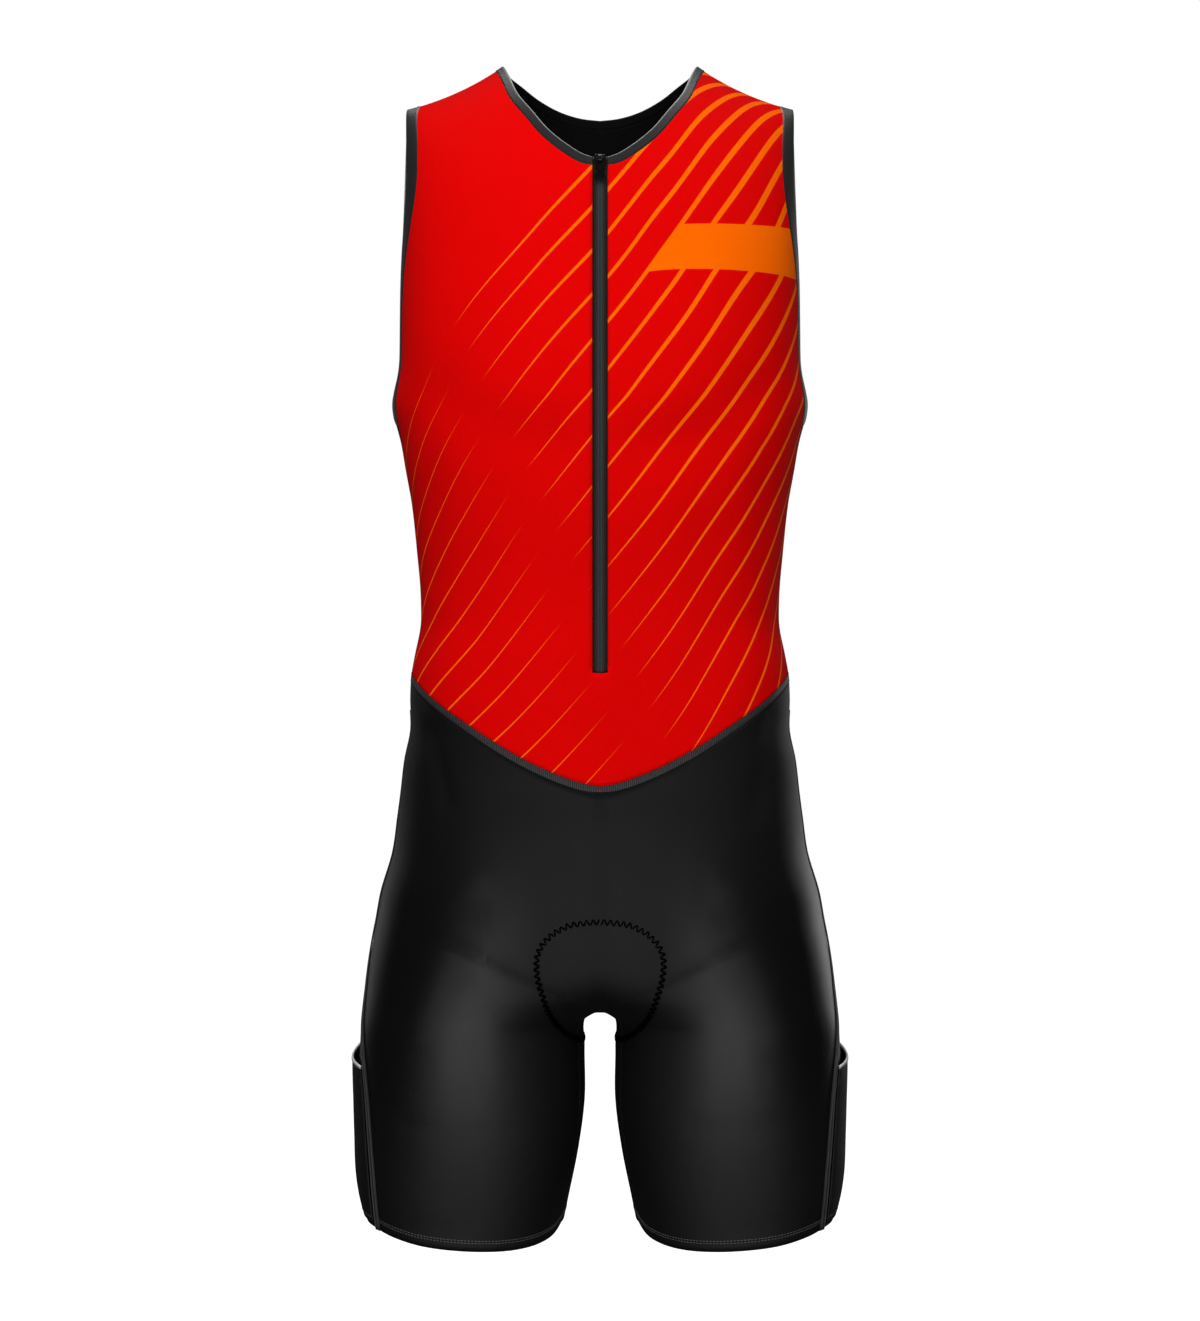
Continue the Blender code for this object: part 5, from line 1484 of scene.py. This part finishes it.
zip_top = neck_edge(0)[0][1][0]
zip_heights = np.linspace(ZIP_BOTTOM + SEAM_GAP, zip_top, ZIP_ROWS)
from_end = np.clip((zip_heights - zip_heights[0]) / ZIP_END_ROUND, 0, 1)
narrowing = 1 - ZIP_END_LOSS * (1 - np.sqrt(1 - (1 - from_end) ** 2))
zip_x = ZIP_STEPS[None, :] * np.where(ZIP_STEPS > 2 * MM, narrowing[:, None], 1)
zip_angle = slot_angle(zip_heights[:, None], zip_x)
zip_points = torso_point(zip_angle, zip_heights[:, None])
zip_points = zip_points + outward(zip_points) * ZIP_LIFTS[None, :, None]
for side, word in SIDES:
    piece = cloth("zip_tape_" + word + "_woven", zip_points, zip_weave,
                  "zip_tape_" + word, wall=TAPE_WALL, side=side)

# ---- Zip slider and pull tab ----------------------------------------------------------
# Painted metal slider with rounded corners and an arched bridge. The flat pull tab hangs
# on the bridge by a window in its upper end, and swings about it.

SLIDER_WIDTH = 9.4 * MM
SLIDER_DEPTH = 3 * MM
SLIDER_HEIGHT = 12 * MM
SLIDER_DROP = 6.5 * MM
SLIDER_TAPER = 0.82             # width of its foot as a share of its top
SLIDER_CORNER = 2.2 * MM
TAB_AXIS_OUT = 1.1 * MM
TAB_AXIS_UP = 2.2 * MM
TAB_WALL = 1.2 * MM
BRIDGE_RADIUS = 2.9 * MM
BRIDGE_THICK = 0.8 * MM
BRIDGE_WIDTH = 2.2 * MM
BRIDGE_STEPS = 14
BRIDGE_SINK = 0.3 * MM          # how deep its feet stand in the slider
SLIDER_EDGE = 0.5 * MM
TAB_EDGE = 0.25 * MM
TAB_OUTLINE = [(3.1, 0.6), (3.3, -2.0), (3.1, -6.0), (2.5, -8.5), (2.6, -12.0),
               (4.2, -14.2), (4.4, -17.0), (3.6, -17.4)]
WINDOW_OUTLINE = [(1.6, -0.6), (1.65, -1.6), (1.65, -3.0), (1.6, -4.4), (1.4, -4.8),
                  (1.1, -5.0), (0.7, -5.1), (0.3, -5.1)]

zip_paint = Finish("black zip paint", Specular_IOR_Level=0.5)
PAINT_BLACK = (0.0008, 0.0008, 0.0009)
PAINT_WORN = (0.004, 0.004, 0.0042)
zip_paint.dyed(2 * MM, PAINT_BLACK, PAINT_WORN)
zip_paint.paint(Roughness=0.28 + 0.15 * zip_paint.noise(1 * MM))
zip_paint.bump(zip_paint.noise(0.6 * MM), 0.03 * MM)

slider_height = zip_top - SLIDER_DROP * CLIMB / (math.pi / 2 * (shoulder_line(0) - ARMPIT))
slider_at = torso_point(0.0, slider_height)
above_it = torso_point(0.0, slider_height + 5 * MM) - torso_point(0.0, slider_height - 5 * MM)
lean = math.atan2(above_it[1], above_it[2])
face_out = TAPE_WALL / 2 + SEAM_GAP


def on_slider(out, up):
    """Matrix of a frame on the zip, out from the tapes' face and up from the slider."""
    y = slider_at[1] - out * math.cos(lean) + up * math.sin(lean)
    z = slider_at[2] + out * math.sin(lean) + up * math.cos(lean)
    return Matrix.Translation((0, y, z)) @ Matrix.Rotation(-lean, 4, "X")


def rounded(bm, edges, radius, segments):
    """Rounds edges off to a radius."""
    bmesh.ops.bevel(bm, geom=edges, offset=radius, segments=segments, profile=0.5,
                    affect="EDGES", material=-1)


def rims(bm):
    """Edges where two faces meet at a sharp corner."""
    return [edge for edge in bm.edges if edge.calc_face_angle(0) > math.radians(60)]


bm = bmesh.new()
bmesh.ops.create_cube(bm, size=1)
bmesh.ops.scale(bm, verts=bm.verts, vec=(SLIDER_WIDTH, SLIDER_DEPTH, SLIDER_HEIGHT))
for vert in bm.verts:
    if vert.co.z < 0:
        vert.co.x *= SLIDER_TAPER
standing = [edge for edge in bm.edges if abs(edge.verts[0].co.y - edge.verts[1].co.y) > MM]
rounded(bm, standing, SLIDER_CORNER, 5)
rounded(bm, rims(bm), SLIDER_EDGE, 3)
section = bmesh.ops.create_grid(bm, x_segments=1, y_segments=1, size=0.5)["verts"]
bmesh.ops.scale(bm, verts=section, vec=(BRIDGE_WIDTH, BRIDGE_THICK, 1))
bmesh.ops.rotate(bm, verts=section, cent=(0, 0, 0), matrix=Matrix.Rotation(math.pi / 2, 3, "X"))
bridge_foot = BRIDGE_SINK - SLIDER_DEPTH / 2
bmesh.ops.translate(bm, verts=section, vec=(0, bridge_foot, TAB_AXIS_UP + BRIDGE_RADIUS))
bmesh.ops.spin(bm, geom=list({face for vert in section for face in vert.link_faces}),
               cent=(0, bridge_foot, TAB_AXIS_UP), axis=(1, 0, 0), angle=math.pi,
               steps=BRIDGE_STEPS, use_merge=False, use_duplicate=False)
bmesh.ops.recalc_face_normals(bm, faces=bm.faces)
bmesh.ops.transform(bm, verts=bm.verts, matrix=on_slider(face_out + SLIDER_DEPTH / 2, 0))
add_piece("zip_slider_body", bm, zip_paint, "zip_slider")

bm = bmesh.new()
rings = []
for outline in (TAB_OUTLINE, WINDOW_OUTLINE):
    around = outline + [(-x, z) for x, z in reversed(outline)]
    verts = [bm.verts.new((x * MM, -TAB_WALL / 2, z * MM)) for x, z in around]
    rings.append([bm.edges.new(pair) for pair in zip(verts, verts[1:] + verts[:1])])
bmesh.ops.bridge_loops(bm, edges=rings[0] + rings[1])
grown = bmesh.ops.extrude_face_region(bm, geom=bm.faces[:])["geom"]
moved = [item for item in grown if isinstance(item, bmesh.types.BMVert)]
bmesh.ops.translate(bm, verts=moved, vec=(0, TAB_WALL, 0))
bmesh.ops.recalc_face_normals(bm, faces=bm.faces)
rounded(bm, rims(bm), TAB_EDGE, 2)
bmesh.ops.transform(bm, verts=bm.verts,
                    matrix=on_slider(face_out + SLIDER_DEPTH + TAB_AXIS_OUT, TAB_AXIS_UP))
add_piece("zip_pull_tab", bm, zip_paint, "pull_tab", body="tab")

# ---- Room: floor, light and camera ----------------------------------------------------
# A pale floor below the suit, and flat lamps that point at its middle. Some of them light
# only the cloth's colour and the others only its shine. The camera faces the front.

FLOOR_LEVEL = -1.35
FLOOR_GREY = (0.86, 0.86, 0.86)
FLOOR_PALE = (0.9, 0.9, 0.9)
FLOOR_SIZE = 30
FLOOR_GLOW = 0.95
AIM = Vector((0, 0, -0.46))     # where the lamps point
EYE = (0, -2.0, -0.4642)
LENS = 67.2
SENSOR_WIDTH = 36

floor_paint = Finish("pale floor", Roughness=0.9, Specular_IOR_Level=0.1)
floor_paint.dyed(0.8, FLOOR_GREY, FLOOR_PALE)
floor_paint.paint(Emission_Color=(1.0, 1.0, 1.0, 1.0), Emission_Strength=FLOOR_GLOW)
bm = bmesh.new()
bmesh.ops.create_grid(bm, x_segments=1, y_segments=1, size=FLOOR_SIZE)
bmesh.ops.translate(bm, verts=bm.verts, vec=(0, 0, FLOOR_LEVEL))
mesh = bpy.data.meshes.new("floor")
bm.to_mesh(mesh)
bm.free()
mesh.materials.append(floor_paint.material)
floor = bpy.data.objects.new("floor", mesh)
bpy.context.scene.collection.objects.link(floor)
floor.visible_glossy = False
floor.visible_diffuse = False

ROOM_LIGHT = 0.13               # how bright the room is on the cloth, and in its shine
ROOM_SHINE = 0.02
world = bpy.data.worlds.new("pale room")
bpy.context.scene.world = world
world.use_nodes = True
room = world.node_tree
ray = room.nodes.new("ShaderNodeLightPath")
room.nodes["Background"].inputs["Color"].default_value = (1, 1, 1, 1)
dim, strength = [room.nodes.new("ShaderNodeMapRange") for step in range(2)]
dim.inputs["To Min"].default_value = ROOM_LIGHT
dim.inputs["To Max"].default_value = ROOM_SHINE
room.links.new(ray.outputs["Is Glossy Ray"], dim.inputs["Value"])
room.links.new(dim.outputs["Result"], strength.inputs["To Min"])
strength.inputs["To Max"].default_value = 1.0
room.links.new(ray.outputs["Is Camera Ray"], strength.inputs["Value"])
room.links.new(strength.outputs["Result"], room.nodes["Background"].inputs["Strength"])

# Each lamp's name, place, size, power in watts, and what it lights
LIGHTS = [
    ("high_key", (-0.4, -2.0, 1.3), (1.2, 1.2), 54, "cloth"),
    ("right_fill", (0.5, -2.0, 1.2), (1.2, 1.2), 8, "cloth"),
    ("front", (0.1, -3.0, -0.6), (0.9, 0.9), 18, "cloth"),
    ("left_strip", (-0.48, -1.9, -1.12), (0.3, 0.4), 5.8, "shine"),
    ("right_strip", (0.38, -1.9, -1.12), (0.3, 0.4), 5.1, "shine"),
    ("right_rim", (1.35, 1.6, -0.35), (0.6, 1.2), 4.5, "shine"),
    ("left_rim", (-1.35, 1.6, -0.35), (0.5, 1.2), 1.2, "shine"),
    ("shoulders", (0.1, 0.35, 1.7), (2.6, 0.6), 42, "shine"),
]
for name, place, size, power, use in LIGHTS:
    lamp = bpy.data.lights.new(name, "AREA")
    lamp.shape = "RECTANGLE"
    lamp.size, lamp.size_y = size
    lamp.energy = power
    light = bpy.data.objects.new(name, lamp)
    light.location = place
    light.rotation_euler = (AIM - Vector(place)).to_track_quat("-Z", "Y").to_euler()
    light.visible_glossy = use != "cloth"
    light.visible_diffuse = use != "shine"
    light.visible_camera = False
    bpy.context.scene.collection.objects.link(light)

lens = bpy.data.cameras.new("camera")
lens.lens = LENS
lens.sensor_width = SENSOR_WIDTH
camera = bpy.data.objects.new("camera", lens)
camera.location = EYE
camera.rotation_euler = (math.pi / 2, 0, 0)
bpy.context.scene.collection.objects.link(camera)
bpy.context.scene.camera = camera
bpy.context.scene.view_settings.view_transform = "Standard"
